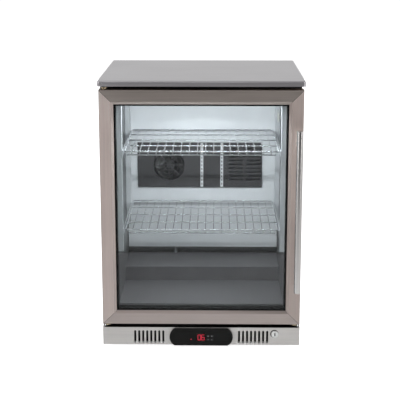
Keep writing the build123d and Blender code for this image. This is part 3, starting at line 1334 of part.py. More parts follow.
def make_handle():
    """A round bar on two posts that are let into its back."""
    bar = rod((HANDLE_X, HANDLE_Y, HANDLE_Z0), (HANDLE_X, HANDLE_Y, HANDLE_Z1), HANDLE_RADIUS)
    bar = fillet(bar.edges(), HANDLE_END_EDGE)
    socket_y = HANDLE_Y + HANDLE_RADIUS - POST_SOCKET
    posts = []
    for z in POST_Z:
        post = rod((HANDLE_X, socket_y, z), (HANDLE_X, DOOR_Y0, z), POST_RADIUS)
        bar -= post
        posts.append(post)
    write("door_handle", group([bar] + posts))


# ---- feet ----
def make_feet():
    """Four levelling feet: a pad, a nut and a threaded stud up through the base pan."""
    names = iter(("foot_front_left", "foot_rear_left", "foot_front_right", "foot_rear_right"))
    for x in (-FOOT_X, FOOT_X):
        for y in FOOT_Y:
            pad = rod((x, y, 0), (x, y, FOOT_PAD_HEIGHT), FOOT_PAD_RADIUS)
            pad = fillet(pad.edges().group_by(Axis.Z)[-1], FOOT_EDGE)
            nut = extrude(RegularPolygon(FOOT_NUT_RADIUS, 6), amount=FOOT_NUT_THICK)
            nut = Pos(x, y, FOOT_PAD_HEIGHT) * nut
            stud = rod((x, y, FOOT_PAD_HEIGHT - CUT), (x, y, FOOT_STUD_TOP), FOOT_STUD_RADIUS)
            write(next(names), pad + nut + stud)


def main():
    os.makedirs("parts", exist_ok=True)
    make_worktop()
    make_shell()
    make_insulation()
    make_floor_tub()
    make_shelf_supports()
    make_shelves()
    make_light()
    make_evaporator_cover()
    make_fan_panel()
    make_coils()
    make_fans()
    make_probe()
    make_base_pan()
    make_compressor()
    make_tubes()
    make_drain()
    make_rear()
    make_kick_panel()
    make_controller()
    make_lock()
    make_hinges()
    make_door_frame()
    make_inner_frame()
    make_glass()
    make_gasket()
    make_hinge_line()
    make_handle()
    make_feet()


main()
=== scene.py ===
import math

import bmesh
import bpy
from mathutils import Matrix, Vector


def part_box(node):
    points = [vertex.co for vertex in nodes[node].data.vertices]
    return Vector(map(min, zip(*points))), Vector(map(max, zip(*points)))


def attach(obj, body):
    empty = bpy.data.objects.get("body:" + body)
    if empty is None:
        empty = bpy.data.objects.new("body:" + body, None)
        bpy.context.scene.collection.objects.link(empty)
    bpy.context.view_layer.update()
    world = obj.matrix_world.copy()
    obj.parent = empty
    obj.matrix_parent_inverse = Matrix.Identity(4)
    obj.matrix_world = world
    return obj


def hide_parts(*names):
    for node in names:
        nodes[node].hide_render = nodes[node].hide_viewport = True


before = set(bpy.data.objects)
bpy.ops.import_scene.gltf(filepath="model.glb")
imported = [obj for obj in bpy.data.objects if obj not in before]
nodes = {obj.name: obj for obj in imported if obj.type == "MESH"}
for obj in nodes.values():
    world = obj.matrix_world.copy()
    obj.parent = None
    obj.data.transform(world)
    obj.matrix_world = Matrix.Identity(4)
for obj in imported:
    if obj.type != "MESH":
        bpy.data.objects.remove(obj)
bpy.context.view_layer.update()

# ---- sizes, in metres ----
MM = 0.001
CAMERA_PLACE = (0.038, -3.3184, 1.235)
CAMERA_PITCH = math.radians(12.88)      # looking down
CAMERA_YAW = math.radians(0.77)         # turned a little to the left
CAMERA_LENS = 97.6                      # in millimetres, like the sensor's width
CAMERA_SENSOR = 36
CAMERA_SHIFT = -0.05
SMOOTH_ANGLE = math.radians(32)
SEAM_WIDTH = 0.7 * MM
SEAM_PROUD = 0.08 * MM
FRAME_FACE = 42 * MM                    # width of the door's mitred frame
BEVEL_WIDTH = 8 * MM                    # its sloping inner edge
BEVEL_DEPTH = 6 * MM
LOCK_EYE = 8.5 * MM                     # radius of the lock cam's eye
SHADOW_RING_SHIFT = 1.7 * MM                 # the black ring round the lock sits off centre, up and to the left, as a painted shadow
SHADOW_RING_INNER = 9.7 * MM
SHADOW_RING_OUTER = 12.2 * MM
SHADOW_RING_PROUD = 0.9 * MM
KEYWAY_HALF_X = 1.7 * MM
KEYWAY_HALF_Z = 4.6 * MM
ZINC_X = (273 * MM, 287 * MM)           # bare part of a hinge plate, from the middle
# the black behind the kick panel's front is painted shade
KICK_PAINTED_SHADE_Y = (0.3 * MM, 0.8 * MM)     # behind its front, the kick panel turns black from .. to ..
KICK_END = 6 * MM                       # its ends stay bare
HANDLE_ROUNDING = 1.6 * MM
HANDLE_POST_RADIUS = 6 * MM
HANDLE_FLANGE_RADIUS = 8.5 * MM
HANDLE_POST_LOW = 55 * MM               # lower post above the bar's lower end
HANDLE_POST_HIGH = 43 * MM              # upper post below its upper end
SET_SCREW_RADIUS = 2.2 * MM
SET_SCREW_LENGTH = 1.2 * MM
GASKET_WIDTH = 18 * MM
GASKET_FOLD = 1.6 * MM
FAN_DEPTH = 16 * MM
FAN_BLADES = 5
FAN_HUB_SHARE = 0.36                    # hub radius over blade radius
BLADE_WIDTH = math.radians(58)
BLADE_SWEEP = math.radians(16)
BLADE_CAMBER = 1.6 * MM
BLADE_HALF_THICKNESS = 0.7 * MM
MARK_SIZE = 1.9 * MM                    # half the size of a key's symbol
MARK_PROUD = 0.12 * MM
FLOOR_REACH = 6.0                       # from the middle to an edge
WORLD_STRENGTH = 1.06


# ---- node helpers ----
def new_material(name, color, **values):
    """A material with a Principled shader; values set its sockets by name."""
    material = bpy.data.materials.new(name)
    material.use_nodes = True
    shader = material.node_tree.nodes["Principled BSDF"]
    shader.inputs["Base Color"].default_value = (*color, 1)
    for socket, value in values.items():
        shader.inputs[socket.replace("_", " ")].default_value = value
    return material, material.node_tree, shader


def place(tree, scale=(1, 1, 1)):
    """Object coordinates, scaled."""
    coordinates = tree.nodes.new("ShaderNodeTexCoord")
    mapping = tree.nodes.new("ShaderNodeMapping")
    mapping.inputs["Scale"].default_value = scale
    tree.links.new(coordinates.outputs["Object"], mapping.inputs["Vector"])
    return mapping.outputs["Vector"]


def noise(tree, scale, detail=3.0, roughness=0.5):
    """Noise stretched by scale."""
    texture = tree.nodes.new("ShaderNodeTexNoise")
    texture.inputs["Scale"].default_value = 1.0
    texture.inputs["Detail"].default_value = detail
    texture.inputs["Roughness"].default_value = roughness
    tree.links.new(place(tree, scale), texture.inputs["Vector"])
    return texture.outputs["Fac"]


def ramp(tree, value, low, high, start=0.3, end=0.7):
    """Colours from low to high as value goes from start to end."""
    node = tree.nodes.new("ShaderNodeValToRGB")
    node.color_ramp.elements[0].position = start
    node.color_ramp.elements[0].color = (*low, 1)
    node.color_ramp.elements[1].position = end
    node.color_ramp.elements[1].color = (*high, 1)
    tree.links.new(value, node.inputs["Fac"])
    return node.outputs["Color"]


def remap(tree, value, low, high, start=0.3, end=0.7):
    """A number from low to high as value goes from start to end."""
    node = tree.nodes.new("ShaderNodeMapRange")
    node.inputs["From Min"].default_value = start
    node.inputs["From Max"].default_value = end
    node.inputs["To Min"].default_value = low
    node.inputs["To Max"].default_value = high
    tree.links.new(value, node.inputs["Value"])
    return node.outputs["Result"]


def blend_colors(tree, factor, first, second, mode="MIX"):
    """Two colour sockets mixed by a factor socket or a number."""
    node = tree.nodes.new("ShaderNodeMix")
    node.data_type = "RGBA"
    node.blend_type = mode
    if isinstance(factor, (int, float)):
        node.inputs[0].default_value = factor
    else:
        tree.links.new(factor, node.inputs[0])
    tree.links.new(first, node.inputs[6])
    tree.links.new(second, node.inputs[7])
    return node.outputs[2]


def bump(tree, shader, height, strength, distance):
    """Adds relief from a height socket."""
    node = tree.nodes.new("ShaderNodeBump")
    node.inputs["Strength"].default_value = strength
    node.inputs["Distance"].default_value = distance
    tree.links.new(height, node.inputs["Height"])
    tree.links.new(node.outputs["Normal"], shader.inputs["Normal"])


def scaled(color, factor):
    """A colour times a factor, kept within 1."""
    return tuple(min(1.0, c * factor) for c in color)


# ---- materials ----
GRAIN = {
    "X": (6, 900, 900),
    "Z": (900, 900, 6),
}
FRONT_TANGENT = {"X": "Z", "Z": "X"}    # the radial axis that gives straight grain on the front


def coordinate(tree, axis):
    """Where a point is along an object axis."""
    parts = tree.nodes.new("ShaderNodeSeparateXYZ")
    tree.links.new(place(tree), parts.inputs["Vector"])
    return parts.outputs[axis]


def along_axis(tree, axis, start, end):
    """A number that goes from 0 to 1 between two places along an object axis."""
    return remap(tree, coordinate(tree, axis), 0.0, 1.0, start, end)


def painted_light_ramp(tree, color, axis, start, end, lift):
    """A colour socket that grows evenly brighter between two places along an axis: painted light."""
    light = ramp(tree, along_axis(tree, axis, start, end), (1.0,) * 3, (lift,) * 3, 0.0, 1.0)
    return blend_colors(tree, 1.0, color, light, "MULTIPLY")


def product(tree, first, second):
    """Two number sockets multiplied."""
    node = tree.nodes.new("ShaderNodeMath")
    node.operation = "MULTIPLY"
    tree.links.new(first, node.inputs[0])
    tree.links.new(second, node.inputs[1])
    return node.outputs["Value"]


def absolute(tree, value):
    """A number socket without its sign."""
    node = tree.nodes.new("ShaderNodeMath")
    node.operation = "ABSOLUTE"
    tree.links.new(value, node.inputs[0])
    return node.outputs["Value"]


def distance_x(tree):
    """How far a point is from the middle, to either side."""
    return absolute(tree, coordinate(tree, "X"))


def facing(tree, axis):
    """How squarely a surface faces along an object axis, from -1 to 1."""
    coordinates = tree.nodes.new("ShaderNodeTexCoord")
    parts = tree.nodes.new("ShaderNodeSeparateXYZ")
    tree.links.new(coordinates.outputs["Normal"], parts.inputs["Vector"])
    return parts.outputs[axis]


def inverse(tree, value):
    """One minus a number socket."""
    return remap(tree, value, 1.0, 0.0, 0.0, 1.0)


def surface_of(material):
    """A finished material's node tree, its shader and the socket that colours it."""
    tree = material.node_tree
    shader = tree.nodes["Principled BSDF"]
    return tree, shader, shader.inputs["Base Color"].links[0].from_socket


def near_black_tone(tree):
    """A nearly black colour socket, slightly uneven."""
    return ramp(tree, noise(tree, (90, 90, 90)), (0.010,) * 3, (0.014,) * 3)


def brushed(name, color, along, roughness, spread=0.16, anisotropy=0.6,
            lift=None, bevel=None, tangent_axis=None):
    """Brushed steel: hairline grain along an axis, faint smudges and a sheen across the grain.

    A bevel axis darkens the faces that slope towards it with painted shade.
    """
    material, tree, shader = new_material(name, color, Metallic=1.0, Anisotropic=anisotropy)
    stretch = GRAIN[along]
    grain = noise(tree, stretch, detail=4.0, roughness=0.65)
    coarse = noise(tree, tuple(s / 5 for s in stretch), detail=2.0)
    cloud = noise(tree, (5, 5, 5), detail=2.0)
    fine = ramp(tree, grain, scaled(color, 1 - spread), scaled(color, 1 + spread), 0.25, 0.75)
    broad = ramp(tree, coarse, scaled(color, 0.94), scaled(color, 1.06), 0.3, 0.7)
    mixed = blend_colors(tree, 0.45, fine, broad)
    smudges = ramp(tree, cloud, (0.94,) * 3, (1.0,) * 3, 0.35, 0.65)
    final = blend_colors(tree, 1.0, mixed, smudges, "MULTIPLY")
    level = final
    # painted light: a lift makes the colour brighter along an axis
    if lift:
        final = painted_light_ramp(tree, final, *lift)
    # painted shade: faces that slope towards the bevel axis get a darker colour
    if bevel:
        dulled_by_painted_shade = blend_colors(tree, 1.0, level, ramp(tree, grain, (0.72,) * 3, (0.76,) * 3), "MULTIPLY")
        sloping = remap(tree, absolute(tree, facing(tree, bevel)), 0.0, 1.0, 0.2, 0.5)
        final = blend_colors(tree, sloping, final, dulled_by_painted_shade)
    tree.links.new(final, shader.inputs["Base Color"])
    tree.links.new(remap(tree, grain, roughness - 0.06, roughness + 0.08), shader.inputs["Roughness"])
    tangent = tree.nodes.new("ShaderNodeTangent")
    tangent.direction_type = "RADIAL"
    tangent.axis = tangent_axis or FRONT_TANGENT[along]
    tree.links.new(tangent.outputs["Tangent"], shader.inputs["Tangent"])
    bump(tree, shader, grain, 0.12, 0.0003)
    return material


def kick_steel():
    """Brushed steel; behind its front, painted shade turns it black and painted light makes the lower
    ends of its vents pale.
    """
    low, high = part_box("kick_panel")
    # its steel tone, set per part, is painted light
    material = brushed("kick_brushed", (0.583, 0.553, 0.536), "X", roughness=0.40)
    tree, shader, steel = surface_of(material)
    gloss = shader.inputs["Roughness"].links[0].from_socket
    start, end = KICK_PAINTED_SHADE_Y
    behind = along_axis(tree, "Y", low.y + start, low.y + end)
    end_x = high.x - KICK_END
    inside = remap(tree, distance_x(tree), 1.0, 0.0, end_x, end_x + 1 * MM)
    hidden = product(tree, behind, inside)
    # painted light: upward faces in the lower half, the vents' lower ends, get a pale colour
    middle = (low.z + high.z) / 2
    upward = remap(tree, facing(tree, "Z"), 0.0, 1.0, 0.1, 0.5)
    lit = product(tree, upward, along_axis(tree, "Z", middle, middle - 1 * MM))
    dark = product(tree, hidden, inverse(tree, lit))
    # painted shade: the rest behind the front is black, rough and not metal
    black = tree.nodes.new("ShaderNodeRGB")
    black.outputs["Color"].default_value = (0.004, 0.004, 0.004, 1)
    painted_vent_light = ramp(tree, noise(tree, (90, 90, 90)), (0.92,) * 3, (0.97,) * 3)
    back = blend_colors(tree, dark, painted_vent_light, black.outputs["Color"])
    tree.links.new(blend_colors(tree, hidden, steel, back), shader.inputs["Base Color"])
    tree.links.new(inverse(tree, hidden), shader.inputs["Metallic"])
    dulled_by_painted_shade = tree.nodes.new("ShaderNodeMath")
    dulled_by_painted_shade.operation = "MAXIMUM"
    tree.links.new(dark, dulled_by_painted_shade.inputs[0])
    tree.links.new(gloss, dulled_by_painted_shade.inputs[1])
    tree.links.new(dulled_by_painted_shade.outputs["Value"], shader.inputs["Roughness"])
    shader.inputs["Specular IOR Level"].default_value = 0.1
    return material


def hinge_plate():
    """Yellow zinc round the hinge line, nearly black on the rest of each bracket."""
    material = polished("hinge_plate", (0.66, 0.55, 0.38), 0.30)
    tree, shader, zinc = surface_of(material)
    place_x = distance_x(tree)
    start, end = ZINC_X
    past_start = remap(tree, place_x, 0.0, 1.0, start - 1 * MM, start + 1 * MM)
    before_end = remap(tree, place_x, 1.0, 0.0, end - 1 * MM, end + 1 * MM)
    bare = product(tree, past_start, before_end)
    tree.links.new(blend_colors(tree, bare, near_black_tone(tree), zinc), shader.inputs["Base Color"])
    return material


def lock_chrome():
    """Chrome in front of the kick panel; behind it, painted shade makes it nearly black."""
    low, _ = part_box("kick_panel")
    material = polished("lock_chrome", (0.72, 0.71, 0.70), 0.28)
    tree, shader, chrome = surface_of(material)
    # painted shade behind the kick panel's front
    behind = along_axis(tree, "Y", low.y + 1 * MM, low.y + 2 * MM)
    tree.links.new(blend_colors(tree, behind, chrome, near_black_tone(tree)), shader.inputs["Base Color"])
    return material


def plastic(name, color, roughness=0.5, grain=1200, relief=0.15, coat=0.0, metallic=0.0,
            spread=0.12, shine=0.5):
    """Moulded plastic, rubber or enamel: a fine texture and slight unevenness of tone."""
    material, tree, shader = new_material(
        name, color, Metallic=metallic, Coat_Weight=coat, Coat_Roughness=0.15, Specular_IOR_Level=shine)
    fine = noise(tree, (grain,) * 3, detail=2.0)
    broad = noise(tree, (14, 14, 14), detail=3.0)
    tone = ramp(tree, broad, scaled(color, 1 - spread), scaled(color, 1 + spread))
    tree.links.new(tone, shader.inputs["Base Color"])
    tree.links.new(remap(tree, broad, roughness - 0.05, roughness + 0.07), shader.inputs["Roughness"])
    bump(tree, shader, fine, relief, 0.0002)
    return material


def polished(name, color, roughness, spread=0.06):
    """Chromed or polished metal with faint haze."""
    material, tree, shader = new_material(name, color, Metallic=1.0)
    haze = noise(tree, (60, 60, 60), detail=4.0)
    tone = ramp(tree, haze, scaled(color, 1 - spread), scaled(color, 1 + spread / 2))
    tree.links.new(tone, shader.inputs["Base Color"])
    tree.links.new(remap(tree, haze, roughness * 0.7, roughness * 1.6), shader.inputs["Roughness"])
    bump(tree, shader, haze, 0.04, 0.0002)
    return material


def galvanised(name, color):
    """Zinc-coated sheet with its spangle."""
    material, tree, shader = new_material(name, color, Metallic=0.9)
    cells = tree.nodes.new("ShaderNodeTexVoronoi")
    cells.inputs["Scale"].default_value = 1.0
    tree.links.new(place(tree, (130, 130, 130)), cells.inputs["Vector"])
    tone = tree.nodes.new("ShaderNodeSeparateColor")
    tree.links.new(cells.outputs["Color"], tone.inputs["Color"])
    spangle = ramp(tree, tone.outputs["Red"], scaled(color, 0.93), scaled(color, 1.06), 0.0, 1.0)
    fine = noise(tree, (400, 400, 400), detail=3.0)
    tree.links.new(spangle, shader.inputs["Base Color"])
    gloss = remap(tree, tone.outputs["Green"], 0.38, 0.48, 0.0, 1.0)
    tree.links.new(gloss, shader.inputs["Roughness"])
    bump(tree, shader, fine, 0.08, 0.0002)
    return material


def pane_glass(name, tint, ior):
    """Window glass that lets the lamps' light through; a low IOR keeps its reflections weak."""
    material, tree, shader = new_material(name, tint, Transmission_Weight=1.0, IOR=ior, Roughness=0.0)
    film = noise(tree, (9, 9, 9), detail=3.0)
    tone = ramp(tree, film, scaled(tint, 0.985), scaled(tint, 1.0))
    tree.links.new(tone, shader.inputs["Base Color"])
    clear = tree.nodes.new("ShaderNodeBsdfTransparent")
    clear.inputs["Color"].default_value = (*tint, 1)
    path = tree.nodes.new("ShaderNodeLightPath")
    mix = tree.nodes.new("ShaderNodeMixShader")
    tree.links.new(path.outputs["Is Shadow Ray"], mix.inputs["Fac"])
    tree.links.new(shader.outputs["BSDF"], mix.inputs[1])
    tree.links.new(clear.outputs["BSDF"], mix.inputs[2])
    tree.links.new(mix.outputs["Shader"], tree.nodes["Material Output"].inputs["Surface"])
    return material


def glowing(name, color, strength):
    """A lit lens with slightly uneven light."""
    material, tree, shader = new_material(name, color, Roughness=0.35, Emission_Strength=strength)
    cloud = noise(tree, (40, 40, 40), detail=2.0)
    tone = ramp(tree, cloud, scaled(color, 0.92), color)
    tree.links.new(tone, shader.inputs["Base Color"])
    tree.links.new(tone, shader.inputs["Emission Color"])
    return material


def embossed(name, color, roughness):
    """Stucco-embossed aluminium sheet."""
    material, tree, shader = new_material(name, color, Metallic=0.8)
    dimples = noise(tree, (150, 150, 150), detail=1.0)
    cloud = noise(tree, (7, 7, 7), detail=3.0)
    tone = ramp(tree, cloud, scaled(color, 0.92), scaled(color, 1.05))
    tree.links.new(tone, shader.inputs["Base Color"])
    tree.links.new(remap(tree, cloud, roughness - 0.05, roughness + 0.07), shader.inputs["Roughness"])
    bump(tree, shader, dimples, 0.5, 0.0008)
    return material


def foam_material(name, color):
    """Rigid foam: small cells and a mottled tone."""
    material, tree, shader = new_material(name, color, Roughness=0.9)
    cells = tree.nodes.new("ShaderNodeTexVoronoi")
    cells.inputs["Scale"].default_value = 1.0
    tree.links.new(place(tree, (700, 700, 700)), cells.inputs["Vector"])
    tone = ramp(tree, cells.outputs["Distance"], scaled(color, 0.75), scaled(color, 1.1), 0.0, 0.8)
    tree.links.new(tone, shader.inputs["Base Color"])
    bump(tree, shader, cells.outputs["Distance"], 0.5, 0.0008)
    return material


def board_material(name, color, stretch):
    """Pressed board or a circuit board: streaks along one way."""
    material, tree, shader = new_material(name, color, Roughness=0.6)
    streak = noise(tree, stretch, detail=5.0)
    tone = ramp(tree, streak, scaled(color, 0.7), scaled(color, 1.25))
    tree.links.new(tone, shader.inputs["Base Color"])
    bump(tree, shader, streak, 0.2, 0.0004)
    return material


def shade(names, material):
    """Gives CAD nodes a material."""
    for name in names:
        mesh = nodes[name].data
        mesh.materials.clear()
        mesh.materials.append(material)
        for polygon in mesh.polygons:
            polygon.material_index = 0


def shade_outside():
    """The worktop, the side and back panels, the base and the feet."""
    top_low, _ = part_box("worktop_skin")
    # painted highlight: the worktop's front edge is made brighter; its steel tone, set per part, is
    # painted light and shade
    painted_front_highlight = ("Y", top_low.y + 4 * MM, top_low.y + 1 * MM, 1.7)
    shade(["worktop_skin"], brushed(
        "worktop_brushed", (0.352, 0.340, 0.354), "X", roughness=0.36, lift=painted_front_highlight, tangent_axis="Y"))
    shade(["worktop_core"], board_material("core_board", (0.42, 0.31, 0.20), (30, 200, 200)))
    shade(["side_panels"], brushed("panel_brushed", (0.50, 0.49, 0.48), "Z", 0.38, tangent_axis="Y"))
    shade(["back_panel", "rear_grille"], galvanised("galvanised_sheet", (0.50, 0.52, 0.54)))
    # painted shade: the base pan is made nearly black, as the dark machine space seen through the vents
    shade(["base_pan"], plastic("pan_painted_shade", (0.010, 0.010, 0.010), 0.5, 500, 0.1, shine=0.2))
    # the front frame is made nearly black; it shows in the gaps round the door
    shade(["front_frame"], plastic("frame_near_black", (0.012, 0.012, 0.012), 0.5, 700, 0.1, shine=0.2))
    feet = ["foot_front_left", "foot_rear_left", "foot_front_right", "foot_rear_right"]
    shade(feet, plastic("foot_plastic", (0.02, 0.02, 0.02), 0.55, 900, 0.3))


def shade_door():
    """The door's frame and glass; each stile grows brighter towards its top, painted light."""
    low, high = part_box("door_stile_hinge")
    left_painted_light = ("Z", low.z, high.z, 1.75)
    right_painted_light = ("Z", low.z, high.z, 2.1)
    # the four bars are one steel in lit and shaded copies of different tone: painted light and shade
    shade(["door_rail_top"], brushed(
        "top_rail_brushed", (0.60, 0.53, 0.49), "X", roughness=0.36, bevel="Z"))
    shade(["door_rail_bottom"], brushed(
        "bottom_rail_brushed", (0.42, 0.36, 0.34), "X", roughness=0.38, bevel="Z"))
    shade(["door_stile_hinge"], brushed(
        "left_stile_brushed", (0.59, 0.50, 0.47), "Z", roughness=0.42, lift=left_painted_light, bevel="X"))
    shade(["door_stile_handle"], brushed(
        "right_stile_brushed", (0.51, 0.43, 0.40), "Z", roughness=0.42, lift=right_painted_light, bevel="X"))
    inner_frame = plastic("frame_plastic", (0.010, 0.010, 0.010), 0.55, 700, 0.1, shine=0.1)
    shade(["door_inner_frame", "glass_spacer"], inner_frame)
    shade(["glass_panes"], pane_glass("door_glass", (0.93, 0.945, 0.945), 1.22))


def shade_fittings():
    """Hinges, lock, fasteners and small mouldings."""
    shade(["hinge_brackets"], hinge_plate())
    shade(["lock_housing", "lock_plug"], lock_chrome())
    shade(["closer_torsion_rod", "cabinet_screws"], polished("zinc_plate", (0.70, 0.70, 0.71), 0.25))
    white_parts = ["hinge_bushes", "temperature_probe"]
    shade(white_parts, plastic("white_acetal", (0.68, 0.67, 0.63), 0.4, 500, 0.08))
    black_parts = ["door_corner_keys", "terminal_cover", "power_inlet"]
    shade(black_parts, plastic("black_plastic", (0.025, 0.025, 0.025), 0.5))


def shade_inside():
    """The cooled space: its walls, floor, shelves and lamp."""
    shade(["inner_liner"], embossed("embossed_aluminium", (0.26, 0.262, 0.268), 0.42))
    shade(["floor_tub"], plastic("tub_plastic", (0.11, 0.105, 0.11), 0.5, 900, 0.25))
    supports = plastic("support_coating", (0.56, 0.57, 0.59), 0.35, 600, 0.05, spread=0.03)
    shade(["shelf_supports"], supports)
    shade(["shelf_lower", "shelf_upper"], polished("shelf_chrome", (0.82, 0.83, 0.85), 0.16))
    cover = plastic("cover_coating", (0.78, 0.79, 0.81), 0.4, 600, 0.05, spread=0.03)
    shade(["evaporator_cover"], cover)
    shade(["fan_panel"], plastic("panel_plastic", (0.062, 0.059, 0.062), 0.5, 900, 0.25))
    shade(["led_housing"], brushed("led_profile", (0.65, 0.66, 0.67), "X", roughness=0.35))
    shade(["led_lens"], glowing("lamp_light", (0.90, 0.97, 1.0), 6.0))
    shade(["foam_insulation"], foam_material("insulation_foam", (0.72, 0.62, 0.38)))


def shade_machinery():
    """The cooling circuit with its fans and drain."""
    shade(["evaporator_coil"], brushed("fin_aluminium", (0.68, 0.69, 0.70), "Z", roughness=0.35))
    condenser = plastic("condenser_coating", (0.03, 0.03, 0.032), 0.4, 600, 0.2, metallic=0.4)
    shade(["condenser_coil"], condenser)
    shade(["fan_shroud"], galvanised("shroud_sheet", (0.46, 0.48, 0.50)))
    shade(["fan_motors"], plastic("motor_enamel", (0.16, 0.17, 0.18), 0.4, 500, 0.1, metallic=0.5))
    compressor = plastic("compressor_enamel", (0.015, 0.015, 0.016), 0.25, 300, 0.1, coat=0.6)
    shade(["compressor_shell"], compressor)
    shade(["compressor_mounts"], plastic("mount_rubber", (0.02, 0.02, 0.02), 0.8, 900, 0.3))
    shade(["refrigerant_tubes"], polished("drawn_copper", (0.72, 0.36, 0.22), 0.28, 0.2))
    shade(["condensate_pan", "drain_trough"], plastic("grey_plastic", (0.25, 0.26, 0.27), 0.45, 500, 0.1))


def shade_controls():
    """The kick panel and the controller in it."""
    shade(["kick_panel"], kick_steel())
    bezel = plastic("bezel_plastic", (0.005, 0.0048, 0.0045), 0.42, 900, 0.06, shine=0.15)
    shade(["controller_bezel"], bezel)
    buttons = ["button_down", "button_light", "button_up", "button_set"]
    shade(buttons, plastic("button_plastic", (0.016, 0.016, 0.017), 0.45, 900, 0.1, shine=0.2))
    shade(["display_window"], pane_glass("smoked_glass", (0.45, 0.22, 0.22), 1.2))
    shade(["display_digits"], glowing("digit_light", (1.0, 0.03, 0.08), 0.05))
    shade(["control_board"], board_material("circuit_board", (0.03, 0.16, 0.07), (240, 240, 900)))


def smooth_cad_nodes():
    """Smooth shading on round faces, crisp edges where faces meet at more than SMOOTH_ANGLE."""
    for part in nodes.values():
        mesh = part.data
        for polygon in mesh.polygons:
            polygon.use_smooth = True
        mesh.set_sharp_from_angle(angle=SMOOTH_ANGLE)


# ---- mesh helpers ----
def add_piece(name, editable, material, body, replaced=(), smooth=True):
    """Turns a bmesh into a finished piece that rides on a body."""
    bmesh.ops.recalc_face_normals(editable, faces=editable.faces)
    mesh = bpy.data.meshes.new(name)
    editable.to_mesh(mesh)
    editable.free()
    for polygon in mesh.polygons:
        polygon.use_smooth = smooth
    if smooth:
        mesh.set_sharp_from_angle(angle=SMOOTH_ANGLE)
    mesh.materials.append(material)
    piece = bpy.data.objects.new(name, mesh)
    bpy.context.scene.collection.objects.link(piece)
    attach(piece, body)
    if replaced:
        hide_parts(*replaced)
    return piece


def join_rings(editable, lower, upper):
    """Faces between two closed rings of vertices; a ring of one vertex is a tip."""
    count = max(len(lower), len(upper))
    for index in range(count):
        after = (index + 1) % count
        corners = [
            lower[index % len(lower)], lower[after % len(lower)],
            upper[after % len(upper)], upper[index % len(upper)],
        ]
        unique = list(dict.fromkeys(corners))
        if len(unique) > 2:
            editable.faces.new(unique)


def lathe(editable, profile, base, axis, segments):
    """Turns (radius, height) points about an axis through base."""
    turn = Vector(axis).to_track_quat("Z", "Y").to_matrix()
    rings = []
    for radius, height in profile:
        ring = []
        for index in range(segments if radius > 0 else 1):
            angle = 2 * math.pi * index / segments
            local = Vector((radius * math.cos(angle), radius * math.sin(angle), height))
            ring.append(editable.verts.new(Vector(base) + turn @ local))
        rings.append(ring)
    for lower, upper in zip(rings, rings[1:]):
        join_rings(editable, lower, upper)


def rounded_bar(radius, length, edge):
    """The (radius, height) outline of a bar with rounded ends."""
    steps = 5
    profile = [(0, 0)]
    for index in range(steps + 1):
        angle = math.pi / 2 * index / steps
        profile.append((radius - edge + edge * math.sin(angle), edge - edge * math.cos(angle)))
    for index in range(steps + 1):
        angle = math.pi / 2 * index / steps
        profile.append((radius - edge + edge * math.cos(angle), length - edge + edge * math.sin(angle)))
    profile.append((0, length))
    return profile


def prism(editable, outline, offset):
    """A closed outline of points moved along an offset vector."""
    lower = [editable.verts.new(Vector(point)) for point in outline]
    upper = [editable.verts.new(Vector(point) + Vector(offset)) for point in outline]
    join_rings(editable, lower, upper)
    editable.faces.new(lower[::-1])
    editable.faces.new(upper)


# ---- door ----
def make_mitre_seams(door_low, door_high, material):
    """The fine dark joint lines where the four frame bars meet."""
    editable = bmesh.new()
    face_y = door_low.y
    flat = FRAME_FACE - BEVEL_WIDTH
    half = SEAM_WIDTH / 2
    for x_edge, x_way in ((door_low.x, 1), (door_high.x, -1)):
        for z_edge, z_way in ((door_low.z, 1), (door_high.z, -1)):
            stations = [(SEAM_WIDTH * 2, 0.0), (flat, 0.0), (FRAME_FACE - SEAM_WIDTH, BEVEL_DEPTH)]
            rings = []
            for inward, depth in stations:
                x = x_edge + x_way * inward
                z = z_edge + z_way * inward
                front = face_y + depth - SEAM_PROUD
                back = face_y + depth + SEAM_WIDTH
                aside = x_way * half
                across = z_way * half
                corners = [
                    (x - aside, front, z + across), (x + aside, front, z - across),
                    (x + aside, back, z - across), (x - aside, back, z + across),
                ]
                rings.append([editable.verts.new(Vector(corner)) for corner in corners])
            for lower, upper in zip(rings, rings[1:]):
                join_rings(editable, lower, upper)
            editable.faces.new(rings[0])
            editable.faces.new(rings[-1])
    add_piece("door_mitre_seams", editable, material, "door", smooth=False)


def make_handle(door_face, material):
    """The bar handle: a tube with rounded ends on two posts with flanges and set screws."""
    low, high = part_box("door_handle")
    radius = (high.x - low.x) / 2
    centre_x = (low.x + high.x) / 2
    centre_y = low.y + radius
    length = high.z - low.z
    editable = bmesh.new()
    bar = rounded_bar(radius, length, HANDLE_ROUNDING)
    lathe(editable, bar, (centre_x, centre_y, low.z), (0, 0, 1), 64)
    reach = door_face - centre_y
    post = [
        (0, 0), (HANDLE_POST_RADIUS, 0), (HANDLE_POST_RADIUS, reach - 4 * MM),
        (HANDLE_POST_RADIUS + 0.5 * MM, reach - 3 * MM),
        (HANDLE_FLANGE_RADIUS - 0.4 * MM, reach - 2.6 * MM), (HANDLE_FLANGE_RADIUS, reach - 2.2 * MM),
        (HANDLE_FLANGE_RADIUS, reach), (0, reach),
    ]
    set_screw = rounded_bar(SET_SCREW_RADIUS, SET_SCREW_LENGTH, 0.4 * MM)
    for z in (low.z + HANDLE_POST_LOW, high.z - HANDLE_POST_HIGH):
        lathe(editable, post, (centre_x, centre_y, z), (0, 1, 0), 40)
        screw_base = (centre_x, centre_y + reach * 0.55, z - HANDLE_POST_RADIUS - 0.6 * MM)
        lathe(editable, set_screw, screw_base, (0, 0, 1), 20)
    add_piece("door_handle_bar", editable, material, "door", ["door_handle"])


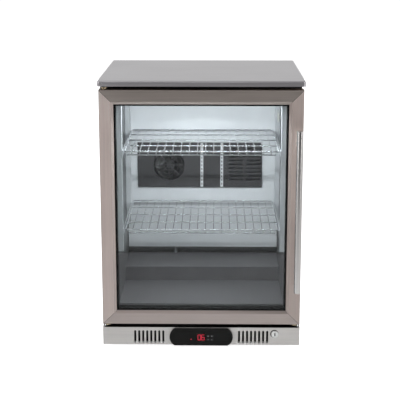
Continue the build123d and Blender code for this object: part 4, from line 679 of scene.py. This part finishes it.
def loop_of_bars(editable, outline, door_low, door_high, back):
    """Sweeps (inward, backward) points round the door with mitred corners."""
    rings = []
    corners = (
        (door_low.x, 1, door_low.z, 1), (door_high.x, -1, door_low.z, 1),
        (door_high.x, -1, door_high.z, -1), (door_low.x, 1, door_high.z, -1),
    )
    for x_edge, x_way, z_edge, z_way in corners:
        points = [(x_edge + x_way * u, back + v, z_edge + z_way * u) for u, v in outline]
        rings.append([editable.verts.new(Vector(point)) for point in points])
    for lower, upper in zip(rings, rings[1:] + rings[:1]):
        join_rings(editable, lower, upper)


def make_gasket(door_low, door_high, material):
    """The magnetic door seal: a base strip, two bellows folds and the magnet's rounded tube."""
    low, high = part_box("door_gasket")
    depth = high.y - low.y
    inset = low.x - door_low.x
    fold = GASKET_FOLD / GASKET_WIDTH
    side = [
        (0.0, 0.0), (0.0, 0.13), (fold, 0.2), (0.02, 0.32), (fold, 0.44),
        (0.0, 0.56), (0.0, 0.9), (0.06, 0.98), (0.16, 1.0),
    ]
    outline = [(inset + GASKET_WIDTH * u, depth * v) for u, v in side]
    outline += [(inset + GASKET_WIDTH * (1 - u), depth * v) for u, v in reversed(side)]
    editable = bmesh.new()
    loop_of_bars(editable, outline, door_low, door_high, low.y)
    add_piece("door_seal_bellows", editable, material, "door", ["door_gasket"])


# ---- fans ----
def blade_points(hub, tip, turn, side):
    """Rows of points over one side of a blade, which is swept forward, twisted and cambered."""
    rows = []
    spans = 8
    chords = 8
    root = hub * 0.9
    for span in range(spans + 1):
        outward = span / spans
        radius = root + (tip - root) * outward
        width = BLADE_WIDTH * (1 - 0.12 * outward)
        sweep = BLADE_SWEEP * outward ** 2
        lift = FAN_DEPTH * (0.42 - 0.10 * outward)
        row = []
        for chord in range(chords + 1):
            along = chord / chords - 0.5
            angle = turn + sweep + width * along
            camber = BLADE_CAMBER * math.cos(math.pi * along)
            thickness = BLADE_HALF_THICKNESS * math.cos(math.pi * along * 0.8)
            height = 2 * lift * along + camber + side * thickness
            row.append((radius * math.cos(angle), radius * math.sin(angle), height))
        rows.append(row)
    return rows


def rim(sheet):
    """The vertices round the edge of a grid of them, in order."""
    tip = sheet[-1]
    leading = [row[-1] for row in sheet[1:]]
    trailing = [row[0] for row in sheet[-2:0:-1]]
    return sheet[0] + leading + tip[-2::-1] + trailing


def make_fan(name, node, axis, material, body):
    """A moulded axial fan with swept, cambered blades and a domed hub."""
    low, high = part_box(node)
    centre = (low + high) / 2
    tip = (high.z - low.z) / 2
    hub = tip * FAN_HUB_SHARE
    turn = Vector(axis).to_track_quat("Z", "Y").to_matrix()
    half = FAN_DEPTH / 2
    editable = bmesh.new()
    dome = [
        (0, -half), (hub * 0.55, -half), (hub * 0.86, -half * 0.88), (hub * 0.97, -half * 0.68),
        (hub, -half * 0.4), (hub, half), (hub * 0.86, half), (hub * 0.86, half * 0.3), (0, half * 0.3),
    ]
    lathe(editable, dome, centre, axis, 48)
    for blade in range(FAN_BLADES):
        start = 2 * math.pi * blade / FAN_BLADES
        sheets = []
        for side in (-1, 1):
            rows = blade_points(hub, tip * 0.985, start, side)
            sheets.append([[editable.verts.new(centre + turn @ Vector(p)) for p in row] for row in rows])
        lower, upper = sheets
        spans = len(lower)
        chords = len(lower[0])
        for span in range(spans - 1):
            for chord in range(chords - 1):
                for sheet in sheets:
                    editable.faces.new([
                        sheet[span][chord], sheet[span + 1][chord],
                        sheet[span + 1][chord + 1], sheet[span][chord + 1],
                    ])
        join_rings(editable, rim(lower), rim(upper))
    add_piece(name, editable, material, body, [node])


# ---- lock and controls ----
def lock_face():
    """The middle of the lock plug's front face."""
    low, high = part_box("lock_plug")
    return Vector((high.x - LOCK_EYE, low.y, (low.z + high.z) / 2))


def make_lock_shadow_ring(material):
    """A black ring round the lock's chrome flange, set off centre so that it shows as a dark crescent: a
    painted shadow.
    """
    kick_low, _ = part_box("kick_panel")
    face = lock_face()
    centre = (face.x - SHADOW_RING_SHIFT, kick_low.y, face.z + SHADOW_RING_SHIFT)
    edge = 0.4 * MM
    sunk = 0.2 * MM
    profile = [
        (SHADOW_RING_INNER, -sunk), (SHADOW_RING_INNER, SHADOW_RING_PROUD), (SHADOW_RING_OUTER - edge, SHADOW_RING_PROUD),
        (SHADOW_RING_OUTER, SHADOW_RING_PROUD - edge), (SHADOW_RING_OUTER, -sunk), (SHADOW_RING_INNER, -sunk),
    ]
    editable = bmesh.new()
    lathe(editable, profile, centre, (0, -1, 0), 56)
    bmesh.ops.remove_doubles(editable, verts=editable.verts, dist=0.001 * MM)
    add_piece("lock_shadow_ring", editable, material, "cabinet")


def make_keyway_shadow(material):
    """A dark sheet over the lock's keyway: painted shade in its recess."""
    face = lock_face()
    front = face.y - 0.1 * MM
    thick = 0.3 * MM
    corners = [(-1, -1), (1, -1), (1, 1), (-1, 1)]
    outline = [(face.x + KEYWAY_HALF_X * u, front, face.z + KEYWAY_HALF_Z * w) for u, w in corners]
    editable = bmesh.new()
    prism(editable, outline, (0, thick, 0))
    add_piece("lock_keyway_shadow", editable, material, "lock_body", smooth=False)


def make_button_marks(material):
    """Plain raised symbols: arrows down and up, a round lamp and a square."""
    sides = 20
    turns = [2 * math.pi * index / sides for index in range(sides)]
    circle = [(math.cos(angle), math.sin(angle)) for angle in turns]
    shapes = {
        "button_down": [(-1, 0.7), (1, 0.7), (0, -0.9)],
        "button_up": [(-1, -0.7), (1, -0.7), (0, 0.9)],
        "button_light": circle,
        "button_set": [(-0.85, -0.85), (0.85, -0.85), (0.85, 0.85), (-0.85, 0.85)],
    }
    for button, outline in shapes.items():
        low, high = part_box(button)
        middle = (low + high) / 2
        editable = bmesh.new()
        front = low.y - MARK_PROUD
        points = [(middle.x + MARK_SIZE * u, front, middle.z + MARK_SIZE * w) for u, w in outline]
        prism(editable, points, (0, 2 * MARK_PROUD, 0))
        add_piece(button + "_mark", editable, material, button + "_body", smooth=False)


def make_pieces():
    """Everything that Blender adds to the CAD nodes, or shows in place of them."""
    door_low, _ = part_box("door_stile_hinge")
    _, door_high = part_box("door_stile_handle")
    seam = plastic("seam_shadow", (0.05, 0.045, 0.042), 0.6, 900, 0.1)
    make_mitre_seams(door_low, door_high, seam)
    handle = brushed(
        "handle_brushed", (0.62, 0.60, 0.59), "Z", roughness=0.20, anisotropy=0.0, spread=0.08)
    make_handle(door_low.y, handle)
    make_gasket(door_low, door_high, plastic("gasket_rubber", (0.03, 0.03, 0.032), 0.6, 800, 0.2))
    fan = plastic("fan_plastic", (0.03, 0.03, 0.03), 0.4, 500, 0.1)
    make_fan("evaporator_fan_blades", "evaporator_fan", (0, 1, 0), fan, "evaporator_fan_body")
    make_fan("condenser_fan_blades", "condenser_fan", (1, 0, 0), fan, "condenser_fan_body")
    # a black ring that shows as a painted shadow round the lock
    make_lock_shadow_ring(plastic("shadow_ring_black", (0.008, 0.008, 0.008), 0.7, 900, 0.1, shine=0.1))
    # painted shade in the lock's keyway
    make_keyway_shadow(plastic("keyway_shadow_black", (0.012, 0.012, 0.012), 0.5, 900, 0.05))
    make_button_marks(plastic("mark_ink", (0.16, 0.16, 0.165), 0.6, 900, 0.05))


# ---- studio ----
def make_floor():
    """A matt floor that looks plain white to the camera and is darker in front, for reflections."""
    mesh = bpy.data.meshes.new("floor")
    editable = bmesh.new()
    bmesh.ops.create_grid(editable, x_segments=8, y_segments=8, size=FLOOR_REACH)
    editable.to_mesh(mesh)
    editable.free()
    floor = bpy.data.objects.new("studio_floor", mesh)
    bpy.context.scene.collection.objects.link(floor)
    material, tree, shader = new_material("floor_paint", (0.92, 0.92, 0.92), Roughness=0.7)
    depth = along_axis(tree, "Y", -2.4, -0.6)
    tone = ramp(tree, depth, (0.35,) * 3, (0.92,) * 3, 0.0, 1.0)
    tree.links.new(tone, shader.inputs["Base Color"])
    shader.inputs["Emission Color"].default_value = (1, 1, 1, 1)
    path = tree.nodes.new("ShaderNodeLightPath")
    tree.links.new(path.outputs["Is Camera Ray"], shader.inputs["Emission Strength"])
    mesh.materials.append(material)


def make_world():
    """Soft studio surroundings: bright behind the object, darker behind the camera and overhead.

    The camera itself sees plain white.
    """
    world = bpy.data.worlds.new("studio")
    bpy.context.scene.world = world
    world.use_nodes = True
    tree = world.node_tree
    background = tree.nodes["Background"]
    coordinates = tree.nodes.new("ShaderNodeTexCoord")
    parts = tree.nodes.new("ShaderNodeSeparateXYZ")
    tree.links.new(coordinates.outputs["Generated"], parts.inputs["Vector"])
    depth = remap(tree, parts.outputs["Y"], 0.0, 1.0, -0.96, -0.35)
    around = ramp(tree, depth, (0.08, 0.08, 0.08), (1.0, 1.0, 1.0), 0.0, 1.0)
    height = remap(tree, parts.outputs["Z"], 0.0, 1.0, 0.0, 1.0)
    ceiling = ramp(tree, height, (0.95, 0.95, 0.95), (0.45, 0.45, 0.45), 0.0, 1.0)
    tone = blend_colors(tree, 1.0, around, ceiling, "MULTIPLY")
    path = tree.nodes.new("ShaderNodeLightPath")
    white = tree.nodes.new("ShaderNodeRGB")
    white.outputs["Color"].default_value = (1, 1, 1, 1)
    seen = blend_colors(tree, path.outputs["Is Camera Ray"], tone, white.outputs["Color"])
    tree.links.new(seen, background.inputs["Color"])
    background.inputs["Strength"].default_value = WORLD_STRENGTH


def add_area(name, place_at, target, size, power, color=(1, 1, 1)):
    """A soft lamp that points at target."""
    lamp = bpy.data.lights.new(name, "AREA")
    lamp.shape = "RECTANGLE"
    lamp.size, lamp.size_y = size
    lamp.energy = power
    lamp.color = color
    lamp_object = bpy.data.objects.new(name, lamp)
    direction = Vector(target) - Vector(place_at)
    lamp_object.rotation_euler = direction.to_track_quat("-Z", "Y").to_euler()
    lamp_object.location = place_at
    bpy.context.scene.collection.objects.link(lamp_object)
    return lamp_object


def make_lights():
    """Two soft lamps, a strip at each side for the steel's streaks, and the cabinet's own lamp."""
    add_area("key_lamp", (-1.8, -2.2, 2.6), (0, 0, 0.4), (1.6, 1.6), 28)
    add_area("fill_lamp", (2.4, -1.6, 1.8), (0, 0, 0.4), (1.4, 1.8), 10)
    for side in (-1, 1):
        name = "strip_left" if side < 0 else "strip_right"
        add_area(name, (2.0 * side, -1.9, 0.8), (0, -0.2, 0.5), (0.18, 1.6), 4.5)
    lens_low, lens_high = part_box("led_lens")
    middle = (lens_low + lens_high) / 2
    lens_size = (lens_high.x - lens_low.x, lens_high.y - lens_low.y)
    below_lens = (middle.x, middle.y, lens_low.z - 2 * MM)
    lamp = add_area(
        "cabinet_lamp", below_lens, (middle.x, middle.y + 0.12, 0.3), lens_size, 3.0, (0.92, 0.97, 1.0))
    lamp.visible_camera = False


def make_camera():
    """The camera that was fitted to the photograph's edges."""
    camera = bpy.data.cameras.new("camera")
    camera.lens = CAMERA_LENS
    camera.sensor_width = CAMERA_SENSOR
    camera.shift_y = CAMERA_SHIFT
    camera_object = bpy.data.objects.new("camera", camera)
    camera_object.location = CAMERA_PLACE
    camera_object.rotation_euler = (math.pi / 2 - CAMERA_PITCH, 0, CAMERA_YAW)
    bpy.context.scene.collection.objects.link(camera_object)
    bpy.context.scene.camera = camera_object
    bpy.context.scene.view_settings.view_transform = "Standard"


make_camera()
make_world()
make_lights()
make_floor()
smooth_cad_nodes()
shade_outside()
shade_door()
shade_fittings()
shade_inside()
shade_machinery()
shade_controls()
make_pieces()
